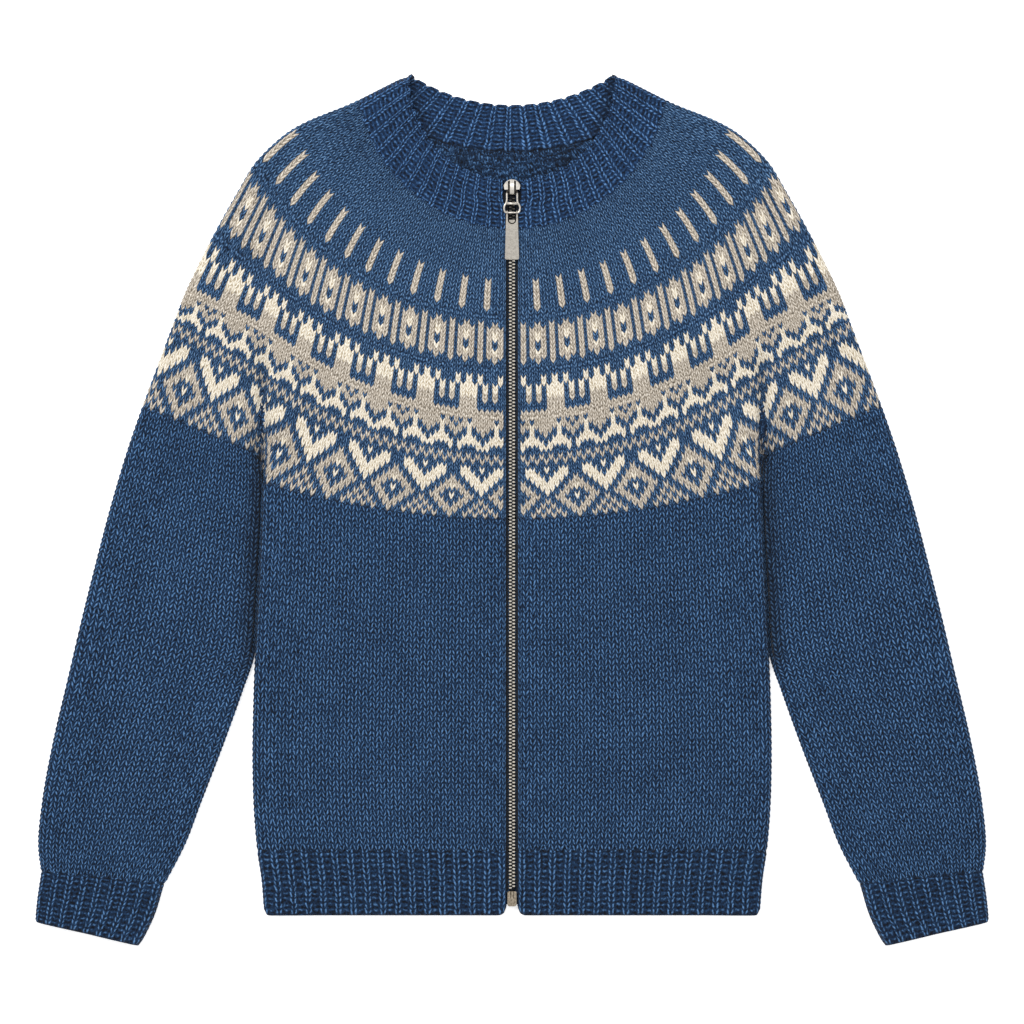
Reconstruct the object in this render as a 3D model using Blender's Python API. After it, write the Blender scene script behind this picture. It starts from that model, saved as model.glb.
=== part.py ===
"""A zip-up yoke sweater, laid flat on its back with the zip up.

Lengths in the tables are millimetres. X runs across the garment, with the
wearer's right at -X, Y runs from hem to collar, and Z is up from the surface
that the back lies on. The cloth is one 3 mm wall, flattened into a front and a
back layer that turn into each other at rounded folds.
"""
import math

import bmesh
import bpy
import numpy as np

MM = 0.001

# Cloth: one wall, two layers high when it lies flat, and fuller at a fold.
WALL = 3.0
SEAM = 0.3
FLAT_HEIGHT = 6.6
FOLD_HEIGHT = 9.6
FOLD_REACH = 8.0
FOLD_ANGLES = (90, 45, 0, -45, -90)
SWELL = FOLD_HEIGHT - FLAT_HEIGHT
SWELL_FULL_TO = 14.0
SWELL_ENDS_AT = 50.0
RIB_RELIEF = 0.8

# Zip: the front edges leave a straight slot, and rise over the zip tape.
SLOT_HALF = 5.9
SLOT_HALF_AT_SLIDER = 7.5
SLIDER_ZONE = (250.0, 262.0)
EDGE_LIFT = 0.6
EDGE_LIFT_TO = 17.0
EDGE_LIFT_ENDS = 38.0
TAPE_WIDTH = 16.0
TAPE_BOTTOM = 3.3
TAPE_TOP = 3.9
TAPE_TOP_Y = 272.0
CHAIN_HALF = 3.1
CHAIN_TOP = 5.9
CHAIN_GAP = 0.35
ZIP_BOX_HALF = 4.2
ZIP_BOX_TOP_Y = -320.0
ZIP_BOX_LOW_Y = -332.6
ZIP_BOX_HEIGHT = 6.5
ZIP_BOX_CORNER = 0.8

# Inner edge of a tape as (y, x): beside the slider, below it, and beside the box.
TAPE_INNER_EDGE = (
    (TAPE_TOP_Y, 7.4), (267.5, 7.4), (266.5, 5.3), (257.0, 5.3), (255.5, 3.45),
    (ZIP_BOX_TOP_Y + 1.0, 3.45), (ZIP_BOX_TOP_Y + 0.6, 4.55), (ZIP_BOX_LOW_Y, 4.55),
)
# Half section of the closed chain as (x, z), from its underside to its top.
CHAIN_SECTION = ((2.5, TAPE_BOTTOM), (CHAIN_HALF, 3.7), (CHAIN_HALF, 5.5), (2.5, CHAIN_TOP))

# Slider, link and tab.
PULL_Z = 8.3
PLATE_LOW = (3.3, 4.2)
PLATE_HIGH = (6.2, 7.2)
CROWN_TOP = 9.0
SLIDER_TOP_Y = 277.2
SLIDER_LOW_Y = 264.6
CROWN_LOW_Y = 268.6
CROWN_HALF = 7.0
CROWN_FOOT_HALF = 6.2
BRIDGE_HALF = 1.8
# Side view of the bridge as (y, z): over its top, then round the slot for the link's bar.
BRIDGE = (
    (275.6, 8.5), (274.6, 9.6), (272.0, 10.5), (268.0, 10.7), (265.6, 10.2), (SLIDER_LOW_Y, 9.2),
    (SLIDER_LOW_Y, 6.7), (265.9, 6.7), (265.9, 9.4), (268.8, 9.4), (268.8, 8.5),
)
# Half outlines as (x, y): the wedge between the plates, and the plates' narrow foot.
WEDGE = ((1.8, 270.5), (2.6, 275.5))
WEDGE_HEIGHTS = (3.8, 6.6)
FOOT = ((4.2, SLIDER_LOW_Y), (4.6, SLIDER_LOW_Y + 0.6), (4.6, CROWN_LOW_Y + 1.0))

LINK_HINGE_Y = 267.4
TAB_HINGE_Y = 249.4
WIRE = 0.75
# Half of the link's path as (x, y): bar under the bridge, leg, and round the oval ring.
LINK_PATH = (
    (3.4, LINK_HINGE_Y), (4.1, LINK_HINGE_Y - 0.25), (4.35, LINK_HINGE_Y - 0.9), (4.35, 260.0),
    (4.9, 257.6), (6.1, 255.6), (6.65, 253.6), (6.5, 251.7), (6.0, 250.3), (5.4, 249.6), (4.9, TAB_HINGE_Y),
)
CROSS_BAR_Y = 257.0
CROSS_BAR_HALF = 4.8
CROSS_BAR_RADIUS = 0.95

TAB_LOW_Y = 210.0
TAB_THICK = 1.4
# Half outline of the tab as (x, y), and the D-shaped hole under its top edge.
TAB_OUTLINE = (
    (4.85, TAB_HINGE_Y - 1.3), (5.0, TAB_HINGE_Y - 6.0), (5.9, TAB_LOW_Y + 1.6),
    (5.4, TAB_LOW_Y + 0.4), (4.6, TAB_LOW_Y),
)
TAB_HOLE_HALF = 3.5
TAB_HOLE_TOP_Y = 251.0
TAB_HOLE_ROUND_Y = 243.2
EYE_INNER = 1.05
EYE_OUTER = 1.7
EYE_SIDES = (3.55, 4.75)
CUT_CLEAR = 1.0

# The crease where sleeve and body meet under the yoke, and how far it leans.
CREASE_X = 209.9
CREASE_LEAN = 1.4 / 25.5
CREASE_WIDTH = 5.0
CREASE_FULL_Y = 60.0
CREASE_ENDS_Y = 150.0

# Rounds of the yoke, from neck to its last row. Each is an arc about the neck
# in front and behind, and ends at the shoulder fold. Where it meets the crease
# it is given a step there, and runs straight on over the sleeve.
ROUND = ("front_y", "front_radius", "back_y", "back_radius", "step", "fold_x", "fold_y")
YOKE_ROUNDS = (
    (234.4, 126.0, 300.7, 218.0, None, 130.2, 344.0),
    (181.4, 210.0, 233.0, 240.0, None, 194.9, 312.5),
    (161.3, 243.0, 207.5, 255.0, None, 215.9, 291.5),
    (141.1, 277.0, 182.0, 285.0, None, 231.8, 265.4),
    (82.3, 332.0, 107.0, 340.0, 0.0, 272.2, 188.2),
    (40.3, 361.0, 53.0, 365.0, 2.0, 286.0, 152.9),
    (-5.9, 672.0, -5.9, 672.0, 25.5, 311.2, 85.7),
)
NECK_ROUNDS = (
    (234.8, 125.6, 301.1, 217.6, None, 129.8, 344.2),
    (277.2, 84.8, 340.2, 161.0, None, 86.0, 366.2),
)

# Half width of the body at each height, down to the hem.
BODY_SIDE = (
    (26.9, 209.6), (-25.2, 211.3), (-75.6, 213.8), (-121.8, 216.3), (-159.6, 217.6),
    (-210.0, 218.4), (-260.4, 216.7), (-287.3, 214.2), (-310.8, 210.8), (-340.2, 208.6),
)
HEM_TOP_Y = -287.3
HEM_LOW_Y = -340.2
HEM_BACK_LOW_Y = -331.0
HEM_ROUND_AT_ZIP = 6.7
HEM_ROUND_AT_SIDE = 4.0
HEM_RIBS = 16

# Sleeve and cuff rows: the outer fold and the inner fold of each.
SLEEVE_ROW = ("outer_x", "outer_y", "inner_x", "inner_y")
SLEEVE_ROWS = (
    (311.0, 85.3, 211.9, 52.6),
    (321.7, 55.4, 211.4, 23.5),
    (336.0, 8.4, 212.6, -25.2),
    (349.4, -42.0, 215.1, -75.6),
    (362.0, -92.4, 218.0, -121.8),
    (373.8, -142.8, 226.0, -152.9),
    (385.6, -193.2, 241.9, -198.2),
    (394.8, -243.6, 260.4, -246.1),
    (398.2, -281.4, 275.1, -283.9),
    (395.6, -304.1, 291.5, -315.0),
)
CUFF_ROWS = (
    (395.7, -304.5, 291.8, -315.4),
    (399.0, -327.6, 299.9, -341.9),
    (400.7, -345.6, 311.8, -366.2),
)
CUFF_RIBS = 8
NECK_RIBS_FRONT = 14
NECK_RIBS_BACK = 9

BLUE_WOOL = ((0.045, 0.095, 0.21), 0.9, 0.0)
YOKE_WOOL = ((0.2, 0.24, 0.3), 0.9, 0.0)
TAPE = ((0.01, 0.01, 0.012), 0.8, 0.0)
BRASS = ((0.42, 0.37, 0.27), 0.35, 1.0)
NICKEL = ((0.52, 0.5, 0.47), 0.32, 1.0)


def ease(value):
    """0 below 0, 1 above 1, and a smooth step between."""
    value = np.clip(value, 0.0, 1.0)
    return value * value * (3.0 - 2.0 * value)


def spline(knots, values, places):
    """A cubic through each row of values, its slopes taken from the neighbours."""
    knots = np.asarray(knots, float)
    values = np.asarray(values, float)
    places = np.atleast_1d(np.asarray(places, float))
    slopes = np.gradient(values, knots, axis=0)
    low = np.clip(np.searchsorted(knots, places) - 1, 0, len(knots) - 2)
    span = knots[low + 1] - knots[low]
    part = (places - knots[low]) / span
    shape = (-1,) + (1,) * (values.ndim - 1)
    part = part.reshape(shape)
    span = span.reshape(shape)
    start = (1 + 2 * part) * (1 - part) ** 2 * values[low]
    start = start + part * (1 - part) ** 2 * span * slopes[low]
    end = part ** 2 * (3 - 2 * part) * values[low + 1]
    end = end + part ** 2 * (part - 1) * span * slopes[low + 1]
    return start + end


def along(line, distances):
    """Points of a plan line at these distances from its first point."""
    steps = np.hypot(*np.diff(line, axis=0).T)
    passed = np.concatenate(([0.0], np.cumsum(steps)))
    x = np.interp(distances, passed, line[:, 0])
    y = np.interp(distances, passed, line[:, 1])
    return np.stack([x, y], axis=-1)


def length(line):
    """Length of a plan line."""
    return float(np.hypot(*np.diff(line, axis=0).T).sum())


def slot_half(y):
    """Half width of the zip slot, wider round the slider."""
    low, high = SLIDER_ZONE
    return SLOT_HALF + (SLOT_HALF_AT_SLIDER - SLOT_HALF) * ease((y - low) / (high - low))


def swell(distance):
    """How much fuller the cloth lies at this distance from a fold, from 1 to 0."""
    return 1.0 - ease((distance - SWELL_FULL_TO) / (SWELL_ENDS_AT - SWELL_FULL_TO))


def crease(x, y):
    """Fullness beside the crease under the yoke, with the crease itself low."""
    away = x - CREASE_X
    strength = 1.0 - ease((y - CREASE_FULL_Y) / (CREASE_ENDS_Y - CREASE_FULL_Y))
    return strength * swell(np.abs(away)) * (1.0 - np.exp(-(away / CREASE_WIDTH) ** 2))


def edge_lift(x):
    """Rise of a front edge over the zip tape."""
    return EDGE_LIFT * (1.0 - ease((x - EDGE_LIFT_TO) / (EDGE_LIFT_ENDS - EDGE_LIFT_TO)))


def round_line(row, side, start_x):
    """One round in plan: an arc about the neck, from the middle to the fold."""
    values = dict(zip(ROUND, row))
    centre = values[side + "_y"] + values[side + "_radius"]
    radius = values[side + "_radius"]
    fold = np.array([values["fold_x"], values["fold_y"]])
    if values["step"] is None:
        last = math.atan2(fold[0], centre - fold[1])
        reach = math.hypot(fold[0], centre - fold[1])
    else:
        last = math.asin(CREASE_X / radius)
        reach = radius
    angle = np.linspace(math.asin(start_x / radius), last, 60)
    radii = radius + (reach - radius) * (angle / last) ** 2
    line = np.stack([radii * np.sin(angle), centre - radii * np.cos(angle)], axis=-1)
    if values["step"] is None:
        return line
    corner = line[-1] + [CREASE_LEAN * values["step"], values["step"]]
    return np.concatenate([line, [corner], [fold]])


def fold_columns(angles):
    """Reach from the fold and height of the wall's two faces round a fold."""
    angles = np.radians(angles)
    middle = FOLD_HEIGHT / 2
    outer_e = FOLD_REACH * (1 - np.cos(angles))
    outer_z = middle * (1 + np.sin(angles))
    inner_e = FOLD_REACH - (FOLD_REACH - WALL) * np.cos(angles)
    inner_z = middle + (middle - WALL) * np.sin(angles)
    return outer_e, outer_z, inner_e, inner_z


def front_height(points, from_fold, creased):
    """Height of the front layer's upper face."""
    full = swell(from_fold)
    if creased:
        full = np.maximum(full, crease(points[:, 0], points[:, 1]))
    return FLAT_HEIGHT + SWELL * full + edge_lift(points[:, 0])


def joined(points, heights):
    """Plan points and heights as 3-D points."""
    return np.concatenate([points, np.reshape(heights, (-1, 1))], axis=1)


def mirrored(points):
    """The same points on the other side of the zip."""
    return points * [-1.0, 1.0, 1.0]


def rib_columns(count):
    """Fractions across a ribbed width, and how deep each is in a groove."""
    at = [0.0]
    groove = [0.0]
    for rib in range(count):
        at += [rib + 0.22, rib + 0.5, rib + 0.78]
        groove += [0.0, 1.0, 0.0]
    at.append(float(count))
    groove.append(0.0)
    return np.array(at) / count, np.array(groove)


def half_round(front_line, back_line, front_at, back_at, creased, ribs=(0.0, 0.0)):
    """Outer and inner points of a round, from the zip edge to the centre back. ribs says
    how deep each point is in a groove, outside in front and inside on the back."""
    front_length = length(front_line)
    back_length = length(back_line)
    front_s = np.asarray(front_at) * (front_length - FOLD_REACH)
    back_s = np.asarray(back_at) * (back_length - FOLD_REACH)
    front_plan = along(front_line, front_s)
    back_plan = along(back_line, back_s)[::-1]
    top = front_height(front_plan, front_length - front_s, creased)
    outer_front = joined(front_plan, top - RIB_RELIEF * np.asarray(ribs[0]))
    inner_front = joined(front_plan, top - WALL)
    outer_e, outer_z, inner_e, inner_z = fold_columns(FOLD_ANGLES[1:-1])
    upper = np.asarray(FOLD_ANGLES[1:-1]) >= 0
    folds = []
    for reach, height in ((outer_e, outer_z), (inner_e, inner_z)):
        on_front = along(front_line, front_length - reach)
        on_back = along(back_line, back_length - reach)
        folds.append(joined(np.where(upper[:, None], on_front, on_back), height))
    outer_back = joined(back_plan, np.zeros(len(back_plan)))
    inside = np.full(len(back_plan), WALL) - RIB_RELIEF * np.asarray(ribs[1])
    inner_back = joined(back_plan, inside[::-1])
    outer = np.concatenate([outer_front, folds[0], outer_back])
    inner = np.concatenate([inner_front, folds[1], inner_back])
    return outer, inner


def whole_round(half):
    """A half round and its mirror image, from one zip edge to the other."""
    return np.concatenate([mirrored(half), half[-2::-1]])


def quads(rows, columns, first, closed):
    """Faces of a grid of points stored row by row."""
    row = np.arange(rows - 1)[:, None]
    column = np.arange(columns if closed else columns - 1)[None, :]
    here = first + row * columns + column
    beside = first + row * columns + (column + 1) % columns
    return np.stack([here, beside, beside + columns, here + columns], axis=-1).reshape(-1, 4)


def strip(first_line, second_line, closed):
    """Faces that join two lines of point numbers."""
    if closed:
        first_line = np.append(first_line, first_line[0])
        second_line = np.append(second_line, second_line[0])
    parts = [first_line[:-1], first_line[1:], second_line[1:], second_line[:-1]]
    return np.stack(parts, axis=-1)


def make_object(name, points, faces, finish):
    """A mesh object in metres with its own material and its faces pointing out."""
    mesh = bpy.data.meshes.new(name)
    mesh.from_pydata((np.asarray(points) * MM).tolist(), [], [list(face) for face in faces])
    shape = bmesh.new()
    shape.from_mesh(mesh)
    bmesh.ops.recalc_face_normals(shape, faces=shape.faces)
    if shape.calc_volume(signed=True) < 0:
        bmesh.ops.reverse_faces(shape, faces=shape.faces)
    shape.to_mesh(mesh)
    shape.free()
    thing = bpy.data.objects.new(name, mesh)
    bpy.context.scene.collection.objects.link(thing)
    colour, roughness, metallic = finish
    material = bpy.data.materials.new(name)
    material.use_nodes = True
    shader = material.node_tree.nodes["Principled BSDF"]
    shader.inputs["Base Color"].default_value = (*colour, 1.0)
    shader.inputs["Roughness"].default_value = roughness
    shader.inputs["Metallic"].default_value = metallic
    mesh.materials.append(material)
    return thing


def wall(name, outer, inner, finish, closed=False):
    """A closed wall of cloth between an outer and an inner grid of points."""
    outer = np.asarray(outer)
    inner = np.asarray(inner)
    rows, columns = outer.shape[:2]
    number = np.arange(rows * columns).reshape(rows, columns)
    second = number + rows * columns
    faces = [quads(rows, columns, 0, closed), quads(rows, columns, rows * columns, closed)[:, ::-1]]
    faces.append(strip(number[0], second[0], closed))
    faces.append(strip(number[-1], second[-1], closed))
    if not closed:
        faces.append(strip(number[:, 0], second[:, 0], False))
        faces.append(strip(number[:, -1], second[:, -1], False))
    points = np.concatenate([outer.reshape(-1, 3), inner.reshape(-1, 3)])
    return make_object(name, points, np.concatenate(faces).tolist(), finish)


def body_half(y):
    """Half width of the body at a height."""
    table = np.array(BODY_SIDE)[::-1]
    return spline(table[:, 0], table[:, 1], y)[0]


def build_yoke():
    """The round yoke, open at the zip: each row runs from one front edge to the other."""
    last_front = round_line(YOKE_ROUNDS[-1], "front", SLOT_HALF)
    last_back = round_line(YOKE_ROUNDS[-1], "back", 0.0)
    front_at = yoke_columns(last_front, 12, 5)
    back_at = yoke_columns(last_back, 9, 3)
    knots = [YOKE_ROUNDS[0][0] - row[0] for row in YOKE_ROUNDS]
    fronts = []
    backs = []
    for row in YOKE_ROUNDS:
        fronts.append(along_fraction(round_line(row, "front", SLOT_HALF), 120))
        backs.append(along_fraction(round_line(row, "back", 0.0), 120))
    depths = np.array([0.0, 26.0, 53.0, 73.0, 93.3, 122.0, 152.1, 173.0, 194.1, 217.0])
    front_rows = list(spline(knots, fronts, depths)) + [last_front]
    back_rows = list(spline(knots, backs, depths)) + [last_back]
    outer = []
    inner = []
    for front_line, back_line in zip(front_rows, back_rows):
        sides = half_round(front_line, back_line, front_at, back_at, True)
        outer.append(whole_round(sides[0]))
        inner.append(whole_round(sides[1]))
    wall("yoke", outer, inner, YOKE_WOOL)


def along_fraction(line, count):
    """A plan line as this many points, evenly spaced."""
    return along(line, np.linspace(0.0, length(line), count))


def yoke_columns(line, body_count, sleeve_count):
    """Fractions of a round's flat stretch, with one at each end of the crease's step."""
    flat = length(line) - FOLD_REACH
    to_crease = length(line[:-2]) / flat
    past_crease = length(line[:-1]) / flat
    parts = [
        np.linspace(0.0, to_crease, body_count),
        [(to_crease + past_crease) / 2],
        np.linspace(past_crease, 1.0, sleeve_count),
    ]
    return np.concatenate(parts)


def build_neckband():
    """The ribbed neckband, folded at the shoulders. Its ribs show outside in front
    and inside on the back of the neck."""
    front_at, front_groove = rib_columns(NECK_RIBS_FRONT)
    back_at, back_groove = rib_columns(NECK_RIBS_BACK)
    lines = {"front": [], "back": []}
    for row in NECK_ROUNDS:
        for side in lines:
            lines[side].append(along_fraction(round_line(row, side, 0.0), 120))
    outer = []
    inner = []
    for part in (0.0, 0.35, 0.7, 1.0):
        front_line = lines["front"][0] * (1 - part) + lines["front"][1] * part
        back_line = lines["back"][0] * (1 - part) + lines["back"][1] * part
        edge = slot_half(front_line[0, 1])
        clipped = front_line[front_line[:, 0] > edge]
        start_y = np.interp(edge, front_line[:, 0], front_line[:, 1])
        front_line = np.concatenate([[[edge, start_y]], clipped])
        grooves = (front_groove, back_groove)
        sides = half_round(front_line, back_line, front_at, back_at, False, grooves)
        outer.append(whole_round(sides[0]))
        inner.append(whole_round(sides[1]))
    wall("neckband", outer, inner, BLUE_WOOL)


def front_line_at(top_y, low_y, part, start_x):
    """A row of the body's front or back, bent as the yoke above and straight at the hem."""
    arc = round_line(YOKE_ROUNDS[-1], "front", start_x)[:-2]
    height = top_y * (1 - part) + low_y * part
    half = body_half(height + (arc[-1, 1] - arc[0, 1]) * (1 - part))
    x = start_x + (arc[:, 0] - start_x) / (arc[-1, 0] - start_x) * (half - start_x)
    y = height + (arc[:, 1] - arc[0, 1]) * (1 - part)
    return np.stack([x, y], axis=-1)


def panel_row(line, at, groove=0.0):
    """Outer and inner points of a front row, from the zip edge to the side seam."""
    total = length(line)
    distance = np.asarray(at) * (total - FOLD_REACH)
    plan = along(line, distance)
    top = front_height(plan, total - distance, False)
    outer_e, outer_z, inner_e, inner_z = fold_columns((60, 30, 0))
    outer_z = np.maximum(outer_z, FOLD_HEIGHT / 2 + SEAM / 2)
    inner_z = np.maximum(inner_z, FOLD_HEIGHT / 2 + SEAM / 2)
    outer_side = joined(along(line, total - outer_e), outer_z)
    inner_side = joined(along(line, total - inner_e), inner_z)
    outer = joined(plan, top - RIB_RELIEF * np.asarray(groove))
    inner = joined(plan, top - WALL)
    return np.concatenate([outer, outer_side]), np.concatenate([inner, inner_side])


def back_row(line, at):
    """Outer and inner points of a back row, from the centre to the side seam."""
    total = length(line)
    plan = along(line, np.asarray(at) * (total - FOLD_REACH))
    outer_e, outer_z, inner_e, inner_z = fold_columns((-60, -30, 0))
    outer_z = np.minimum(outer_z, FOLD_HEIGHT / 2 - SEAM / 2)
    inner_z = np.minimum(inner_z, FOLD_HEIGHT / 2 - SEAM / 2)
    outer_side = joined(along(line, total - outer_e), outer_z)
    inner_side = joined(along(line, total - inner_e), inner_z)
    outer = joined(plan, np.zeros(len(plan)))
    inner = joined(plan, np.full(len(plan), WALL))
    return np.concatenate([outer, outer_side]), np.concatenate([inner, inner_side])


def build_fronts():
    """The two fronts, from the yoke to the ribbed hem."""
    top_y = YOKE_ROUNDS[-1][0] - SEAM
    outer = []
    inner = []
    for part in np.linspace(0.0, 1.0, 8):
        line = front_line_at(top_y, HEM_TOP_Y, part, SLOT_HALF)
        row = panel_row(line, np.linspace(0.0, 1.0, 12))
        outer.append(row[0])
        inner.append(row[1])
    wall("front_left", outer, inner, BLUE_WOOL)
    wall("front_right", mirrored(np.array(outer)), mirrored(np.array(inner)), BLUE_WOOL)


def build_back():
    """The back, from the yoke to the ribbed hem, flat on the surface."""
    top_y = YOKE_ROUNDS[-1][0] - SEAM
    outer = []
    inner = []
    for part in np.linspace(0.0, 1.0, 8):
        line = front_line_at(top_y, HEM_TOP_Y, part, 0.0)
        row = back_row(line, np.linspace(0.0, 1.0, 9))
        outer.append(whole_round(row[0][::-1]))
        inner.append(whole_round(row[1][::-1]))
    wall("back", outer, inner, BLUE_WOOL)


def round_off(offset, radius):
    """How far a rounded corner draws an edge back, at this offset from its side."""
    inside = np.clip(radius - offset, 0.0, radius)
    return radius - np.sqrt(radius ** 2 - inside ** 2)


def build_hems():
    """The ribbed hem: two front halves, and a back that ends a little higher."""
    at, groove = rib_columns(HEM_RIBS)
    outer = []
    inner = []
    for part in (0.0, 0.45, 0.88, 1.0):
        y = (HEM_TOP_Y - SEAM) * (1 - part) + HEM_LOW_Y * part
        line = np.stack([np.linspace(SLOT_HALF, body_half(y), 60), np.full(60, y)], axis=-1)
        for points, rows in zip(panel_row(line, at, groove), (outer, inner)):
            lift = round_off(points[:, 0] - SLOT_HALF, HEM_ROUND_AT_ZIP)
            lift = lift + round_off(body_half(y) - points[:, 0], HEM_ROUND_AT_SIDE)
            points[:, 1] += lift * part
            rows.append(points)
    wall("hem_front_left", outer, inner, BLUE_WOOL)
    wall("hem_front_right", mirrored(np.array(outer)), mirrored(np.array(inner)), BLUE_WOOL)
    outer = []
    inner = []
    for part in (0.0, 0.5, 1.0):
        y = (HEM_TOP_Y - SEAM) * (1 - part) + HEM_BACK_LOW_Y * part
        line = np.stack([np.linspace(0.0, body_half(y), 60), np.full(60, y)], axis=-1)
        row = back_row(line, np.linspace(0.0, 1.0, 5))
        outer.append(whole_round(row[0][::-1]))
        inner.append(whole_round(row[1][::-1]))
    wall("hem_back", outer, inner, BLUE_WOOL)


def tube_row(row, at, groove):
    """Outer and inner points once round a flattened sleeve."""
    values = dict(zip(SLEEVE_ROW, row))
    outer_end = np.array([values["outer_x"], values["outer_y"]])
    inner_end = np.array([values["inner_x"], values["inner_y"]])
    width = float(np.hypot(*(inner_end - outer_end)))
    direction = (inner_end - outer_end) / width
    flat = FOLD_REACH + np.asarray(at) * (width - 2 * FOLD_REACH)
    top = FLAT_HEIGHT + SWELL * np.maximum(swell(flat), swell(width - flat))
    under = FOLD_REACH + np.linspace(1.0, 0.0, 4) * (width - 2 * FOLD_REACH)
    outer_e, outer_z, inner_e, inner_z = fold_columns(FOLD_ANGLES[1:-1])
    faces = []
    outside = (outer_e, outer_z, top - RIB_RELIEF * np.asarray(groove), 0.0)
    inside = (inner_e, inner_z, top - WALL, WALL)
    for reach, height, upper, low in (outside, inside):
        places = np.concatenate([flat, width - reach, under, reach[::-1]])
        heights = np.concatenate([upper, height, np.full(4, low), height[::-1]])
        faces.append(joined(outer_end + places[:, None] * direction, heights))
    return faces[0], faces[1]


def build_sleeves():
    """Two sleeves and two ribbed cuffs, each a flattened tube."""
    plain = np.linspace(0.0, 1.0, 9)
    ribbed, groove = rib_columns(CUFF_RIBS)
    sleeve = [tube_row(row, plain, np.zeros(9)) for row in SLEEVE_ROWS]
    cuff = [tube_row(row, ribbed, groove) for row in CUFF_ROWS]
    for name, rows in (("sleeve", sleeve), ("cuff", cuff)):
        outer = np.array([row[0] for row in rows])
        inner = np.array([row[1] for row in rows])
        wall(name + "_left", outer, inner, BLUE_WOOL, closed=True)
        wall(name + "_right", mirrored(outer), mirrored(inner), BLUE_WOOL, closed=True)


def prism(name, outline, low, high, finish, axis="z"):
    """An outline pushed from low to high, along Z, or along X from a (y, z) outline."""
    outline = np.asarray(outline, float)
    count = len(outline)
    levels = [np.full((count, 1), low), np.full((count, 1), high)]
    if axis == "z":
        points = [np.concatenate([outline, level], axis=1) for level in levels]
    else:
        points = [np.concatenate([level, outline], axis=1) for level in levels]
    number = np.arange(count)
    faces = [number.tolist(), (number + count).tolist()]
    faces += strip(number, number + count, True).tolist()
    return make_object(name, np.concatenate(points), faces, finish)


def mirror_outline(half):
    """An outline given on one side of the zip, with its mirror image."""
    half = np.asarray(half, float)
    other = half[::-1] * [-1.0, 1.0]
    return np.concatenate([half, other])


def combine(body, tool, operation):
    """Cut a solid from another, or weld it on, and remove the tool."""
    step = body.modifiers.new(operation.lower(), "BOOLEAN")
    step.operation = operation
    step.solver = "EXACT"
    step.object = tool
    graph = bpy.context.evaluated_depsgraph_get()
    made = bpy.data.meshes.new_from_object(body.evaluated_get(graph))
    body.modifiers.clear()
    body.data = made
    bpy.data.objects.remove(tool)


def build_tapes():
    """The two woven zip tapes, under the front edges and cut back round the slider."""
    inner_edge = np.array([(x, y) for y, x in TAPE_INNER_EDGE])
    outer_edge = np.array([(TAPE_WIDTH, y) for y in (ZIP_BOX_LOW_Y, TAPE_TOP_Y)])
    outline = np.concatenate([inner_edge, outer_edge])
    prism("zip_tape_left", outline, TAPE_BOTTOM, TAPE_TOP, TAPE)
    prism("zip_tape_right", outline * [-1.0, 1.0], TAPE_BOTTOM, TAPE_TOP, TAPE)


def build_chain():
    """The closed chain as one bar, and the box that ends it."""
    section = mirror_outline(CHAIN_SECTION)
    ends = (SLIDER_LOW_Y - CHAIN_GAP, ZIP_BOX_TOP_Y + CHAIN_GAP)
    points = [(x, y, z) for y in ends for x, z in section]
    number = np.arange(len(section))
    other = number + len(section)
    faces = [number.tolist(), other.tolist()] + strip(number, other, True).tolist()
    make_object("zip_chain", points, faces, BRASS)
    narrow = ZIP_BOX_HALF - ZIP_BOX_CORNER
    half = ((narrow, ZIP_BOX_TOP_Y), (ZIP_BOX_HALF, ZIP_BOX_TOP_Y - ZIP_BOX_CORNER),
            (ZIP_BOX_HALF, ZIP_BOX_LOW_Y + ZIP_BOX_CORNER), (narrow, ZIP_BOX_LOW_Y))
    prism("zip_box", mirror_outline(half), TAPE_BOTTOM, ZIP_BOX_HEIGHT, NICKEL)


def crown_outline():
    """The rounded head of the slider, seen from above."""
    angle = np.radians(np.linspace(8.0, 82.0, 6))
    shoulder_y = CROWN_LOW_Y + 2.0
    half_x = CROWN_HALF * np.cos(angle)
    half_y = shoulder_y + (SLIDER_TOP_Y - shoulder_y) * np.sin(angle)
    half = [(CROWN_FOOT_HALF, CROWN_LOW_Y)] + list(zip(half_x, half_y))
    return mirror_outline(half)


def build_slider():
    """The slider: two plates held by a wedge, a raised crown and the bridge that keeps the link."""
    crown = crown_outline()
    foot = mirror_outline(FOOT)
    slider = prism("zip_slider", crown, PLATE_HIGH[0], CROWN_TOP, NICKEL)
    combine(slider, prism("tool", foot, *PLATE_HIGH, NICKEL), "UNION")
    combine(slider, prism("tool", mirror_outline(WEDGE), *WEDGE_HEIGHTS, NICKEL), "UNION")
    combine(slider, prism("tool", crown, *PLATE_LOW, NICKEL), "UNION")
    combine(slider, prism("tool", foot, *PLATE_LOW, NICKEL), "UNION")
    combine(slider, prism("tool", BRIDGE, -BRIDGE_HALF, BRIDGE_HALF, NICKEL, "x"), "UNION")


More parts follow.
